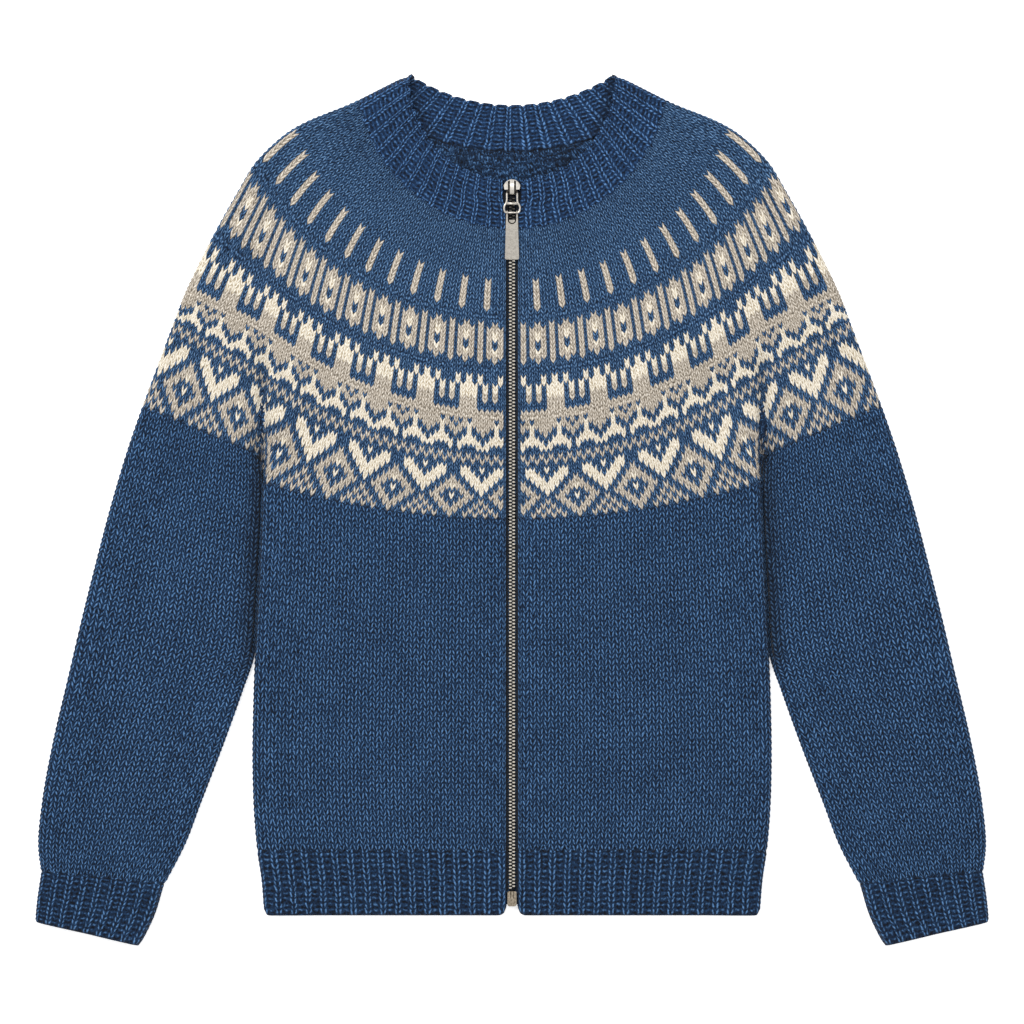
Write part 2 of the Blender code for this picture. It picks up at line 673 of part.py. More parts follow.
def ring_tube(path, radius, sides, closed):
    """Points and faces of a round wire along a level path."""
    path = np.asarray(path, float)
    if closed:
        heading = np.roll(path, -1, axis=0) - np.roll(path, 1, axis=0)
    else:
        heading = np.gradient(path, axis=0)
    heading = heading / np.hypot(heading[:, 0], heading[:, 1])[:, None]
    side = np.stack([heading[:, 1], -heading[:, 0]], axis=-1)
    angle = np.linspace(0.0, 2 * math.pi, sides, endpoint=False) + math.pi / sides
    plan = path[:, None, :] + side[:, None, :] * (radius * np.cos(angle))[None, :, None]
    height = np.broadcast_to(PULL_Z + radius * np.sin(angle), plan.shape[:2])
    points = np.concatenate([plan, height[..., None]], axis=-1)
    count = len(path)
    rows = quads(count + 1, sides, 0, True) if closed else quads(count, sides, 0, True)
    faces = (rows % (count * sides)).tolist()
    if not closed:
        faces += [list(range(sides)), list(range((count - 1) * sides, count * sides))]
    return points.reshape(-1, 3), faces


def build_link():
    """The wire link: a bar under the bridge, two legs, a cross bar and an oval ring."""
    points, faces = ring_tube(mirror_outline(LINK_PATH), WIRE, 10, True)
    link = make_object("pull_link", points, faces, NICKEL)
    bar = [(x, CROSS_BAR_Y) for x in (-CROSS_BAR_HALF, 0.0, CROSS_BAR_HALF)]
    points, faces = ring_tube(bar, CROSS_BAR_RADIUS, 10, False)
    combine(link, make_object("tool", points, faces, NICKEL), "UNION")


def build_tab():
    """The pull tab: a plate with a D-shaped hole, and two eyes round the ring's lower bar."""
    low = PULL_Z - TAB_THICK / 2
    high = PULL_Z + TAB_THICK / 2
    tab = prism("pull_tab", mirror_outline(TAB_OUTLINE), low, high, NICKEL)
    angle = np.radians(np.linspace(0.0, -90.0, 6))[:-1]
    round_x = TAB_HOLE_HALF * np.cos(angle)
    round_y = TAB_HOLE_ROUND_Y + TAB_HOLE_HALF * np.sin(angle)
    hole = mirror_outline([(TAB_HOLE_HALF, TAB_HOLE_TOP_Y)] + list(zip(round_x, round_y)))
    combine(tab, prism("tool", hole, low - CUT_CLEAR, high + CUT_CLEAR, NICKEL), "DIFFERENCE")
    turn = np.linspace(0.0, 2 * math.pi, 14, endpoint=False)
    circle = np.stack([np.cos(turn), np.sin(turn)], axis=-1)
    for side in (-1, 1):
        first, last = sorted(side * x for x in EYE_SIDES)
        eye = prism("tool", circle * EYE_OUTER + [TAB_HINGE_Y, PULL_Z], first, last, NICKEL, "x")
        bore_ends = (first - CUT_CLEAR, last + CUT_CLEAR)
        bore = prism("bore", circle * EYE_INNER + [TAB_HINGE_Y, PULL_Z], *bore_ends, NICKEL, "x")
        combine(eye, bore, "DIFFERENCE")
        combine(tab, eye, "UNION")


def set_origin(name, point):
    """Move an object's origin to a point, without moving its shape."""
    thing = bpy.data.objects[name]
    offset = np.array(point) * MM
    for vertex in thing.data.vertices:
        vertex.co = np.array(vertex.co) - offset
    thing.location = offset


def main():
    """Build every piece in turn."""
    for thing in list(bpy.data.objects):
        bpy.data.objects.remove(thing)
    build_yoke()
    build_neckband()
    build_fronts()
    build_back()
    build_hems()
    build_sleeves()
    build_tapes()
    build_chain()
    build_slider()
    build_link()
    build_tab()
    set_origin("pull_link", (0.0, LINK_HINGE_Y, PULL_Z))
    set_origin("pull_tab", (0.0, TAB_HINGE_Y, PULL_Z))


main()
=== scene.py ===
# %% [markdown]
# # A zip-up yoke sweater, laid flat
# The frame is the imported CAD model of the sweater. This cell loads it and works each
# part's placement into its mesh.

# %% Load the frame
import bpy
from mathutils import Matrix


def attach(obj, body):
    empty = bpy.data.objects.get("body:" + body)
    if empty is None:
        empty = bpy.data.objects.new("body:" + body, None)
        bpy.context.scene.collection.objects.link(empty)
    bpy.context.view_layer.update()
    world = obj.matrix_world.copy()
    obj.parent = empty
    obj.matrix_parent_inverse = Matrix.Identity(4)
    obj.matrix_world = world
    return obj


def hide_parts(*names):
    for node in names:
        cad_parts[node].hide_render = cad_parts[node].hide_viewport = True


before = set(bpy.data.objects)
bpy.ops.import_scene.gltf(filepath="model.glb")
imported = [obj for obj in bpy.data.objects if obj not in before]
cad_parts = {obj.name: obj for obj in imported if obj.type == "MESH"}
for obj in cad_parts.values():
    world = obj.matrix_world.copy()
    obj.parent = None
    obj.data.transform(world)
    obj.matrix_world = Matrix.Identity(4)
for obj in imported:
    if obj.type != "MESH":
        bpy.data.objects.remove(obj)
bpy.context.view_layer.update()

# %% [markdown]
# Every size below is in millimetres, as a knitter would measure it. X runs across
# the sweater with the wearer's right at -X, Y runs from hem to collar, and Z is up
# from the surface that the back lies on. Only the last step turns millimetres into
# Blender's metres.

# %% Imports and small curves
import math
import bpy
import bmesh
import numpy as np

MM = 0.001


def ease(value):
    """0 below 0, 1 above 1, and between them 3 times the square less 2 times the cube."""
    value = np.clip(value, 0.0, 1.0)
    return value * value * (3.0 - 2.0 * value)


def spline(knots, values, places):
    """Cubic Hermite curve through rows of values, with slopes from their neighbours."""
    knots = np.asarray(knots, float)
    values = np.asarray(values, float)
    places = np.atleast_1d(np.asarray(places, float))
    slopes = np.gradient(values, knots, axis=0)
    low = np.clip(np.searchsorted(knots, places) - 1, 0, len(knots) - 2)
    span = knots[low + 1] - knots[low]
    part = (places - knots[low]) / span
    shape = (-1,) + (1,) * (values.ndim - 1)
    part = part.reshape(shape)
    span = span.reshape(shape)
    start = (1 + 2 * part) * (1 - part) ** 2 * values[low]
    start = start + part * (1 - part) ** 2 * span * slopes[low]
    end = part ** 2 * (3 - 2 * part) * values[low + 1]
    end = end + part ** 2 * (part - 1) * span * slopes[low + 1]
    return start + end


def along(line, distances):
    """Points of a plan line at these distances along it, mixed between its corners."""
    steps = np.hypot(*np.diff(line, axis=0).T)
    passed = np.concatenate(([0.0], np.cumsum(steps)))
    x = np.interp(distances, passed, line[:, 0])
    y = np.interp(distances, passed, line[:, 1])
    return np.stack([x, y], axis=-1)


def length(line):
    """Length of a plan line: the sum of its steps."""
    return float(np.hypot(*np.diff(line, axis=0).T).sum())


print("spline through 0, 1, 4 at half way:", spline((0, 1, 2), (0.0, 1.0, 4.0), 0.5))

# %% [markdown]
# ## The cloth as a flattened tube
# A sweater laid flat is a tube pressed into two layers. Each layer is one wall of
# wool about 3 mm thick, and the wall turns over in a soft round fold at the sides,
# where it stands a little higher. The front edges also rise over the zip tape. These
# few heights are the whole cross-section, and every piece of cloth below uses them.

# %% Heights of the two layers
WALL = 3.0
SEAM = 0.3
FLAT_HEIGHT = 6.6
FOLD_HEIGHT = 9.6
FOLD_REACH = 8.0
SWELL_FULL_TO = 14.0
SWELL_ENDS_AT = 50.0
EDGE_LIFT = 0.6
EDGE_LIFT_TO = 17.0
EDGE_LIFT_ENDS = 38.0
CREASE_X = 209.9
CREASE_LEAN = 1.4 / 25.5
CREASE_BODY_WIDTH = 4.5
CREASE_SLEEVE_WIDTH = 10.0
CREASE_SLEEVE_SHARE = 0.3
CREASE_DIP = 0.95
CREASE_FULL_Y = 60.0
CREASE_ENDS_Y = 150.0
QUARTER_FOLD = 10.3


def falling(value, high, low):
    """1 up to the high place, eased to 0 at the low one."""
    return 1.0 - ease((value - high) / (low - high))


def bell(distance, width):
    """Bell curve: e to minus the square of the distance over the width."""
    return np.exp(-(distance / width) ** 2)


def swell(distance):
    """How full the cloth lies at this distance from a fold: 1 near it, eased to 0."""
    return falling(distance, SWELL_FULL_TO, SWELL_ENDS_AT)


def crease(x, y):
    """Fullness beside the arm crease: eased up to the line on the body, and on the sleeve a
    dip, a bell curve of the distance, in a little fullness."""
    away = x - CREASE_X
    full = swell(np.abs(away))
    dip = bell(away, CREASE_SLEEVE_WIDTH)
    body = full * (1.0 + CREASE_DIP) * ease(-away / CREASE_BODY_WIDTH) - CREASE_DIP
    body = np.where(away < -CREASE_BODY_WIDTH, full, body)
    sleeve = CREASE_SLEEVE_SHARE * full * (1.0 - dip) - CREASE_DIP * dip
    return falling(y, CREASE_FULL_Y, CREASE_ENDS_Y) * np.where(away < 0, body, sleeve)


def front_height(points, from_fold, creased):
    """Top of the front layer: flat height, plus its fullness, plus the rise over the tape."""
    full = swell(from_fold)
    if creased:
        full = full + crease(points[:, 0], points[:, 1]) * (1.0 - full)
    lift = EDGE_LIFT * falling(points[:, 0], EDGE_LIFT_TO, EDGE_LIFT_ENDS)
    return FLAT_HEIGHT + (FOLD_HEIGHT - FLAT_HEIGHT) * full + lift


print("front height at a side fold and far from one:", FOLD_HEIGHT, FLAT_HEIGHT)

# %% [markdown]
# Deep between sleeve and body, and where the neckband lies over the inside, the heights
# alone give too little shade in soft light. So every point of cloth also keeps how deep it
# lies, and its material darkens it there: painted shade.

# %% Painted shade: how deep the cloth lies
SIDE_LEAN = 0.043
SIDE_LEAN_BELOW_Y = 30.0
ARMPIT_Y = (45.0, 90.0)
SHADE_ENDS_LOW = (-115.0, -165.0)
SHADE_ENDS_HIGH = (100.0, 160.0)
SHADE_WIDTH_SLEEVE = 11.0
SHADE_WIDTH_BODY = 2.5
SHADE_WIDTH_ABOVE = 4.5
NECK_FRONT_ARC = (362.0, 84.8)
NECK_BACK_ARC = (518.7, 218.0)
NECK_SHADE = ((0.9, 6.0), (0.7, 3.0))
NECK_LAYER_TOP = 5.5
NECK_LOW_Y = 240.0


def hollow(points):
    """How deep cloth lies in a fold, 0 to 1, for painted shade: bell curves of the distance from the
    arm crease, wide on the sleeve, and from the two edges that the neckband lays over the inside."""
    x, y, z = np.abs(points[:, 0]), points[:, 1], points[:, 2]
    away = x - CREASE_X - SIDE_LEAN * np.maximum(SIDE_LEAN_BELOW_Y - y, 0.0)
    under_arm = falling(y, *ARMPIT_Y)
    below = under_arm * falling(-y, *np.negative(SHADE_ENDS_LOW))
    above = (1.0 - under_arm) * falling(y, *SHADE_ENDS_HIGH)
    arm = below * bell(away, np.where(away > 0, SHADE_WIDTH_SLEEVE, SHADE_WIDTH_BODY))
    arm = arm + 0.5 * above * bell(away, SHADE_WIDTH_ABOVE)
    under_front = NECK_FRONT_ARC[1] - np.hypot(x, y - NECK_FRONT_ARC[0])
    under_ridge = np.hypot(x, y - NECK_BACK_ARC[0]) - NECK_BACK_ARC[1]
    neck = 0.0
    for under, (deepest, width) in zip((under_front, under_ridge), NECK_SHADE):
        neck = np.maximum(neck, deepest * ease(under + 1.0) * bell(under, width))
    return np.maximum(arm, neck * (z < NECK_LAYER_TOP) * (y > NECK_LOW_Y))


print("depth in the arm crease:", hollow(np.array([[CREASE_X, 0.0, 0.0], [0.0, 0.0, 0.0]])).round(2))

# %% [markdown]
# Each row of knitting is a line in plan that ends at a fold. The two functions here
# turn such a line into points on the outside and the inside of the wall: flat up to
# 8 mm from the end, then round a quarter of the fold. A front and a back share the
# fold, so together they make the whole turn.

# %% A row of the front and a row of the back
def row_places(line, count):
    """Even places along a row, as reach from the fold, turn of the fold, and flat or not."""
    flat_length = length(line) - FOLD_REACH
    passed = np.linspace(0.0, flat_length + QUARTER_FOLD, count)
    turn = np.clip((passed - flat_length) / QUARTER_FOLD, 0.0, 1.0) * math.pi / 2
    return flat_length - passed, turn, passed <= flat_length


def lay_row(line, count, front, creased=False, parted=False):
    """Outer and inner points of a row: flat, then a quarter of an ellipse round the fold.
    A parted row stops half a seam short of the other layer, where the two are sewn."""
    to_fold, turn, flat = row_places(line, count)
    total = length(line)
    outer_reach = np.where(flat, to_fold + FOLD_REACH, FOLD_REACH * (1 - np.sin(turn)))
    inner_reach = np.where(flat, outer_reach, FOLD_REACH - (FOLD_REACH - WALL) * np.sin(turn))
    outer_plan = along(line, total - outer_reach)
    inner_plan = along(line, total - inner_reach)
    middle = FOLD_HEIGHT / 2
    if front:
        top = front_height(outer_plan, outer_reach, creased)
        outer_z = np.where(flat, top, middle * (1 + np.cos(turn)))
        inner_top = np.maximum(top - WALL, WALL + SEAM)
        inner_z = np.where(flat, inner_top, middle + (middle - WALL) * np.cos(turn))
    else:
        outer_z = np.where(flat, 0.0, middle * (1 - np.cos(turn)))
        inner_z = np.where(flat, WALL, middle - (middle - WALL) * np.cos(turn))
    if parted:
        stop = middle + SEAM / 2 if front else middle - SEAM / 2
        limit = np.maximum if front else np.minimum
        outer_z = np.where(flat, outer_z, limit(outer_z, stop))
        inner_z = np.where(flat, inner_z, limit(inner_z, stop))
    outer = np.concatenate([outer_plan, outer_z[:, None]], axis=1)
    inner = np.concatenate([inner_plan, inner_z[:, None]], axis=1)
    return outer, inner


def mirrored(points):
    """The same points on the other side of the zip."""
    return points * [-1.0, 1.0, 1.0]


sample_row = np.array([(0.0, 0.0), (200.0, 0.0)])
print("a 200 mm row of the front ends at", lay_row(sample_row, 50, True)[0][-1].round(1))

# %% [markdown]
# ## The round yoke
# The yoke is knitted in rounds about the neck, so each round is an arc in plan. The
# table gives the arcs that were measured on the photograph, and a spline fills in the
# rounds between them. Under the arms the round steps down over the crease between
# body and sleeve, and then runs on over the sleeve.

# %% Rounds of the yoke and neckband
SLOT_HALF = 4.9
SLOT_HALF_AT_SLIDER = 7.5
SLIDER_ZONE = (250.0, 262.0)
ROUND = ("front_y", "front_radius", "back_y", "back_radius", "step", "fold_x", "fold_y")
YOKE_ROUNDS = (
    (234.4, 126.0, 300.7, 218.0, None, 130.2, 344.0),
    (181.4, 210.0, 233.0, 240.0, None, 194.9, 312.5),
    (161.3, 243.0, 207.5, 255.0, None, 215.9, 291.5),
    (141.1, 277.0, 182.0, 285.0, None, 231.8, 265.4),
    (82.3, 332.0, 107.0, 340.0, 0.0, 272.2, 188.2),
    (40.3, 361.0, 53.0, 365.0, 2.0, 286.0, 152.9),
    (-8.5, 740.0, -8.5, 740.0, 23.5, 311.2, 85.7),
)
NECK_ROUNDS = (
    (234.4, 126.0, 300.7, 218.0, None, 130.2, 344.0),
    (277.2, 84.8, 340.2, 161.0, None, 86.0, 366.2),
)
ROW_POINTS = 360
YOKE_DEPTH = YOKE_ROUNDS[0][0] - YOKE_ROUNDS[-1][0]
YOKE_TUCK = 3.0


def slot_half(y):
    """Half width of the zip slot, eased wider round the slider."""
    low, high = SLIDER_ZONE
    return SLOT_HALF + (SLOT_HALF_AT_SLIDER - SLOT_HALF) * ease((y - low) / (high - low))


def round_line(row, side, start_x):
    """One round in plan: radius times sine and cosine of the angle about the neck's centre."""
    values = dict(zip(ROUND, row))
    centre = values[side + "_y"] + values[side + "_radius"]
    radius = values[side + "_radius"]
    fold = np.array([values["fold_x"], values["fold_y"]])
    if values["step"] is None:
        last = math.atan2(fold[0], centre - fold[1])
        reach = math.hypot(fold[0], centre - fold[1])
    else:
        last = math.asin(CREASE_X / radius)
        reach = radius
    angle = np.linspace(math.asin(start_x / radius), last, 120)
    radii = radius + (reach - radius) * (angle / last) ** 2
    line = np.stack([radii * np.sin(angle), centre - radii * np.cos(angle)], axis=-1)
    if values["step"] is not None:
        corner = line[-1] + [CREASE_LEAN * values["step"], values["step"]]
        line = np.concatenate([line, [corner], [fold]])
    return along(line, np.linspace(0.0, length(line), ROW_POINTS))


def ring_table(front_lines, back_lines, creased):
    """Outer and inner points of whole rounds, from one zip edge behind the neck to the other."""
    tables = ([], [])
    for front_line, back_line in zip(front_lines, back_lines):
        front = lay_row(front_line, ROW_POINTS, True, creased)
        back = lay_row(back_line, ROW_POINTS, False)
        for table, front_part, back_part in zip(tables, front, back):
            half = np.concatenate([front_part, back_part[-2::-1]])
            table.append(np.concatenate([mirrored(half), half[-2::-1]]))
    return np.array(tables[0]), np.array(tables[1])


yoke_knots = [YOKE_ROUNDS[0][0] - row[0] for row in YOKE_ROUNDS]
yoke_depths = np.linspace(-YOKE_TUCK, YOKE_DEPTH, 91)
yoke_fronts, yoke_backs = [
    spline(yoke_knots, [round_line(row, side, start_x) for row in YOKE_ROUNDS], yoke_depths)
    for side, start_x in (("front", SLOT_HALF), ("back", 0.0))
]
yoke_outer, yoke_inner = ring_table(yoke_fronts, yoke_backs, True)
print("yoke table:", yoke_outer.shape, "last round", round(2 * length(yoke_fronts[-1])), "mm in front")

# %% [markdown]
# ## Knitting on a surface
# One knit stitch shows as a V: two legs that lean together and meet at the bottom.
# Rather than draw the Vs as a picture, the mesh is laid out in stitches. Its rows
# bend up and down in chevrons, so every stitch is a V of faces that can carry one
# colour of yarn, and each leg is a small ridge. A normal taken from the cloth's
# own table tells which way is in, so the relief never grows the sweater.

# %% Read a table between its points
TINY = 1e-9
FLAT_SINES = (0.2, 0.6)


def read_table(table, row, column):
    """The four table values around a place, mixed in proportion to how near each is."""
    rows, columns = table.shape[:2]
    row = np.clip(row, 0.0, rows - 1.0)
    column = np.clip(column, 0.0, columns - 1.0)
    top = np.minimum(row.astype(int), rows - 2)
    left = np.minimum(column.astype(int), columns - 2)
    down = (row - top)[..., None]
    over = (column - left)[..., None]
    upper = table[top, left] * (1 - over) + table[top, left + 1] * over
    lower = table[top + 1, left] * (1 - over) + table[top + 1, left + 1] * over
    return upper * (1 - down) + lower * down


def outward(table, inner):
    """Normals of a table, along-row crossed with along-column slope, turned away from inner,
    and whether they had to be turned. They shorten to 0 where a row runs along the columns,
    as in the arm crease, so that the knitting lies flat there."""
    across = np.gradient(table, axis=1)
    down = np.gradient(table, axis=0)
    normal = np.cross(across, down)
    size = np.linalg.norm(normal, axis=-1, keepdims=True)
    sides = np.linalg.norm(across, axis=-1, keepdims=True) * np.linalg.norm(down, axis=-1, keepdims=True)
    sine = size / np.maximum(sides, TINY)
    low, high = FLAT_SINES
    normal = normal / np.maximum(size, TINY) * ease((sine - low) / (high - low))
    turned = float(np.median((normal * (table - inner)).sum(-1))) < 0
    return (-normal if turned else normal), turned


print("middle of the yoke's table:", read_table(yoke_outer, np.array([45.0]), np.array([700.0])).round(1))

# %% [markdown]
# A skin is one face of the wall as a grid of points. It keeps, for each point, its
# place in stitches for the yarn's shading and its place on a flat sheet for baking,
# and for each face the number of its yarn: 0 is blue, 1 is greige and 2 is cream.
# Bands with different stitch counts are sewn together by a fan of triangles.

# %% Grids, fans and skins
STITCH_DEPTH = 1.2
TUCK_DEPTH = 1.3
TUCK_ROWS = 1.3
EDGE_ROWS = 1.5
CHEVRON = 0.9
UNEVEN = 0.09
AT_FOLD = 0.015


def grid_faces(rows, columns, first=0):
    """Corner numbers of each face in a grid of points stored row by row."""
    row = np.arange(rows - 1)[:, None]
    column = np.arange(columns - 1)[None, :]
    here = first + row * columns + column
    return np.stack([here, here + 1, here + 1 + columns, here + columns], axis=-1).reshape(-1, 4)


def fan_faces(first, second, first_at, second_at):
    """Triangles between two lines: each step's third corner is the other line's place so far."""
    steps = np.arange(len(first) - 1)
    other = np.searchsorted(second_at[1:], first_at[1:], "left")
    one = np.stack([first[steps], first[steps + 1], second[other]], axis=-1)
    steps = np.arange(len(second) - 1)
    other = np.searchsorted(first_at[1:], second_at[1:], "right")
    two = np.stack([first[other], second[steps + 1], second[steps]], axis=-1)
    return np.concatenate([one, two])


def stitch_lift(across, down, depth):
    """Minus the depth, times one less (row ridge times leg ridge): cosines of the stitch place."""
    legs = 0.5 - 0.5 * np.cos(4 * math.pi * across)
    rows = 0.5 - 0.5 * np.cos(2 * math.pi * down)
    return -depth * (1.0 - (0.25 + 0.75 * rows) * (0.35 + 0.65 * legs))


def tucked(down):
    """How far the first row sinks under the Vs of the piece above: eased out in 1.3 rows."""
    return TUCK_DEPTH * falling(down, 0.0, TUCK_ROWS)


def stitch_columns(edges, finer):
    """Places of the grid's columns: each stitch is cut in 4, or in 2 where it isn't finer."""
    cuts = np.where(finer, 4, 2)
    stitch = np.repeat(np.arange(len(cuts)), cuts)
    first = np.cumsum(cuts) - cuts
    part = (np.arange(cuts.sum()) - np.repeat(first, cuts)) / np.repeat(cuts, cuts)
    place = edges[stitch] + part * (edges[stitch + 1] - edges[stitch])
    return np.append(place, edges[-1]), np.append(stitch + part, float(len(cuts))), stitch


def unevenness(column, down):
    """Wander of hand knitting in rows: three slow sine waves of unlike lengths, multiplied."""
    wave = np.sin(0.61 * column + 0.23 * down) * np.sin(0.37 * down - 0.11 * column + 1.3)
    return UNEVEN * (wave + 0.6 * np.sin(1.7 * column - 0.9 * down) * np.sin(0.8 * down + 0.5 * column))


def knit_band(
    outer, normals, edges, row_span, rows, finer, yarns, profile, scallop=0.0, ragged=False, above=None,
    chevron=CHEVRON,
):
    """One band of stitches. Grid rows are half a stitch apart, and each is lifted by the
    chevron, in rows, at a stitch's edges and not at its middle. A ragged
    band ends in Vs, and a band below one begins with that band's Vs, from its edges. A
    scallop draws the first row back at every second column by a part of a row, but not at
    the folds, a quarter of the way from either end."""
    column, across, stitch = stitch_columns(edges, finer)
    down = np.arange(2 * rows + 1)[:, None] / 2
    at_start = np.clip(1.0 - down / EDGE_ROWS, 0.0, 1.0)
    fade = np.minimum(down / EDGE_ROWS, 1.0)
    if not ragged:
        fade[-1] = 0.0
    placed = down - chevron * fade * np.abs(2 * (across % 1.0) - 1)
    if above is not None:
        above_across = np.interp(column, above, np.arange(len(above)))
        placed = placed - CHEVRON * at_start * np.abs(2 * (above_across % 1.0) - 1)
    between = np.sin(math.pi * np.clip(across % 2.0 - 1.0, 0.0, 1.0)) ** 2
    between = between * (1.0 - bell(np.abs(column - 0.5) - 0.25, AT_FOLD))
    placed = placed + scallop * between * at_start
    inside = np.minimum(down, rows - down)
    placed = placed + unevenness(across, down) * np.clip(inside / 2, 0.0, 1.0)
    last_row = outer.shape[0] - 1
    table_row = last_row * (row_span[0] + (row_span[1] - row_span[0]) * placed / rows)
    table_column = np.broadcast_to(column * (outer.shape[1] - 1), table_row.shape)
    spots = read_table(outer, table_row, table_column)
    turned = read_table(normals, table_row, table_column)
    points = spots + turned * profile(across, down)[..., None]
    stitches = np.stack(np.broadcast_arrays(across, down), axis=-1)
    sheet_place = np.stack([table_column / (outer.shape[1] - 1), table_row / last_row], axis=-1)
    yarn = np.repeat(yarns[:, stitch], 2, axis=0)
    return {"points": points, "stitches": stitches, "sheet": sheet_place, "yarn": yarn}


print("one stitch's ridge and valley:", stitch_lift(0.25, 0.5, 1.0), stitch_lift(0.0, 0.0, 1.0))

# %% [markdown]
# A finished piece is an outer skin, an inner skin and strips that close the wall
# between them, so it is one closed shell as real cloth is. The sheet places are packed
# into one square: the outer skin takes most of it, the inner skin and the edges the rest.

# %% Join skins into one closed piece
OUTER_SHARE = 0.74
INNER_SHARE = 0.2
MARGIN = 0.005


class Piece:
    """Points, faces and face facts of one piece of cloth, gathered part by part."""

    def __init__(self):
        self.points = []
        self.faces = []
        self.facts = []
        self.count = 0

    def add_points(self, points, closed):
        """Takes a grid of points and gives back their numbers; a closed row ends where it began."""
        if closed:
            points = points[:, :-1]
        numbers = self.count + np.arange(points[..., 0].size).reshape(points.shape[:-1])
        self.points.append(points.reshape(-1, 3))
        self.count += numbers.size
        if closed:
            numbers = np.concatenate([numbers, numbers[:, :1]], axis=1)
        return numbers

    def turn_over(self):
        """Reverses every face, for a table whose rows and columns run the other way round."""
        self.faces = [faces[:, ::-1] for faces in self.faces]
        self.facts = [(fact[0][:, ::-1], fact[1][:, ::-1], fact[2], fact[3]) for fact in self.facts]

    def add_faces(self, faces, stitches, sheet, yarn, side):
        """Takes faces with, for each corner, its stitch place and its sheet place."""
        self.faces.append(faces)
        self.facts.append((stitches, sheet, np.broadcast_to(yarn, len(faces)), side))

    def add_grid(self, numbers, stitches, sheet, yarn, side, flip):
        """Takes a grid of numbered points as four-cornered faces."""
        corners = grid_faces(*numbers.shape)
        if flip:
            corners = corners[:, ::-1]
        yarn = yarn.ravel() if np.ndim(yarn) else yarn
        stitches, sheet = [places.reshape(-1, 2)[corners] for places in (stitches, sheet)]
        self.add_faces(numbers.ravel()[corners], stitches, sheet, yarn, side)


def sheet_box(sheet, low, high):
    """Sheet places moved from 0 to 1 into a strip of the bake square, inside a margin."""
    across = MARGIN + (1 - 2 * MARGIN) * sheet[..., 0]
    down = low + MARGIN + (high - low - 2 * MARGIN) * sheet[..., 1]
    return np.stack([across, down], axis=-1)


def add_object(name, data):
    """A new object in the scene with this mesh, light or camera."""
    thing = bpy.data.objects.new(name, data)
    bpy.context.scene.collection.objects.link(thing)
    return thing


def build_mesh(name, piece, materials):
    """Puts a piece into a mesh object with its stitch map, its bake map and its yarn numbers."""
    points = np.concatenate(piece.points)
    points[:, 2] = np.maximum(points[:, 2], 0.0)
    # How deep each point lies in a fold, kept for the wool's painted shade
    depth = hollow(points).astype(np.float32)
    points = points * MM
    corners = np.concatenate([faces.ravel() for faces in piece.faces]).astype(np.int32)
    sizes = np.concatenate([np.full(len(faces), faces.shape[1]) for faces in piece.faces])
    starts = (np.cumsum(sizes) - sizes).astype(np.int32)
    mesh = bpy.data.meshes.new(name)
    mesh.vertices.add(len(points))
    mesh.vertices.foreach_set("co", points.astype(np.float32).ravel())
    mesh.loops.add(len(corners))
    mesh.loops.foreach_set("vertex_index", corners)
    mesh.polygons.add(len(starts))
    mesh.polygons.foreach_set("loop_start", starts)
    mesh.update(calc_edges=True)
    for layer, place in (("Stitches", 0), ("OFBake", 1)):
        values = np.concatenate([facts[place].reshape(-1, 2) for facts in piece.facts])
        mesh.uv_layers.new(name=layer)
        mesh.uv_layers[layer].uv.foreach_set("vector", values.astype(np.float32).ravel())
    yarn = np.concatenate([facts[2] for facts in piece.facts]).astype(np.float32)
    mesh.attributes.new("yarn", "FLOAT", "FACE").data.foreach_set("value", yarn)
    mesh.attributes.new("hollow", "FLOAT", "POINT").data.foreach_set("value", depth)
    side = np.concatenate([np.full(len(facts[2]), facts[3]) for facts in piece.facts])
    for material in materials:
        mesh.materials.append(material)
    mesh.polygons.foreach_set("material_index", side.astype(np.int32))
    mesh.polygons.foreach_set("use_smooth", np.ones(len(starts), bool))
    mesh.update()
    mesh.validate()
    print(name, "has", int((sizes - 2).sum()), "triangles")
    return add_object(name, mesh)


def knit_piece(name, outer, inner, bands, materials, closed=False, inner_skin=None):
    """Outer bands of stitches, fans between them, a plain inner skin, and the closing strips."""
    normals, turned = outward(outer, inner)
    piece = Piece()
    previous = None
    first = None
    sides = ([], [])
    for band in bands:
        part = knit_band(outer, normals, **band)
        numbers = piece.add_points(part["points"], closed)
        bake = sheet_box(part["sheet"], 0.0, OUTER_SHARE)
        piece.add_grid(numbers, part["stitches"], bake, part["yarn"], 0, False)
        line = (numbers, part["sheet"], bake, part["stitches"], part["yarn"])
        if previous is not None:
            join_lines(piece, previous, line)
        first = first or line
        previous = line
        sides[0].append(numbers[:, 0])
        sides[1].append(numbers[:, -1])
    close_piece(piece, inner, normals, first, previous, sides, closed, inner_skin)
    if turned:
        piece.turn_over()
    return build_mesh(name, piece, materials)


def join_lines(piece, upper, lower):
    """A fan of triangles from the last line of one band to the first line of the next."""
    numbers, sheet, bake, stitches, yarn = [
        np.concatenate([above[-1], below[0]]) for above, below in zip(upper, lower)
    ]
    count = upper[0].shape[1]
    number = np.arange(len(numbers))
    faces = fan_faces(number[:count], number[count:], sheet[:count, 0], sheet[count:, 0])
    piece.add_faces(numbers[faces], stitches[faces], bake[faces], yarn, 0)


few = np.split(np.arange(5), [2])
print("a fan from 2 points to 3:", fan_faces(*few, np.arange(2), np.arange(3) / 2).tolist())


# %% [markdown]
# The inner skin is a plain grid, since only its shading is seen, at the back of the
# neck. The neckband's inside is ribbed, so it is a band of stitches like the outside.
# Edge strips join the two skins at the top, the bottom and, on an open piece, at both
# ends of the rows.

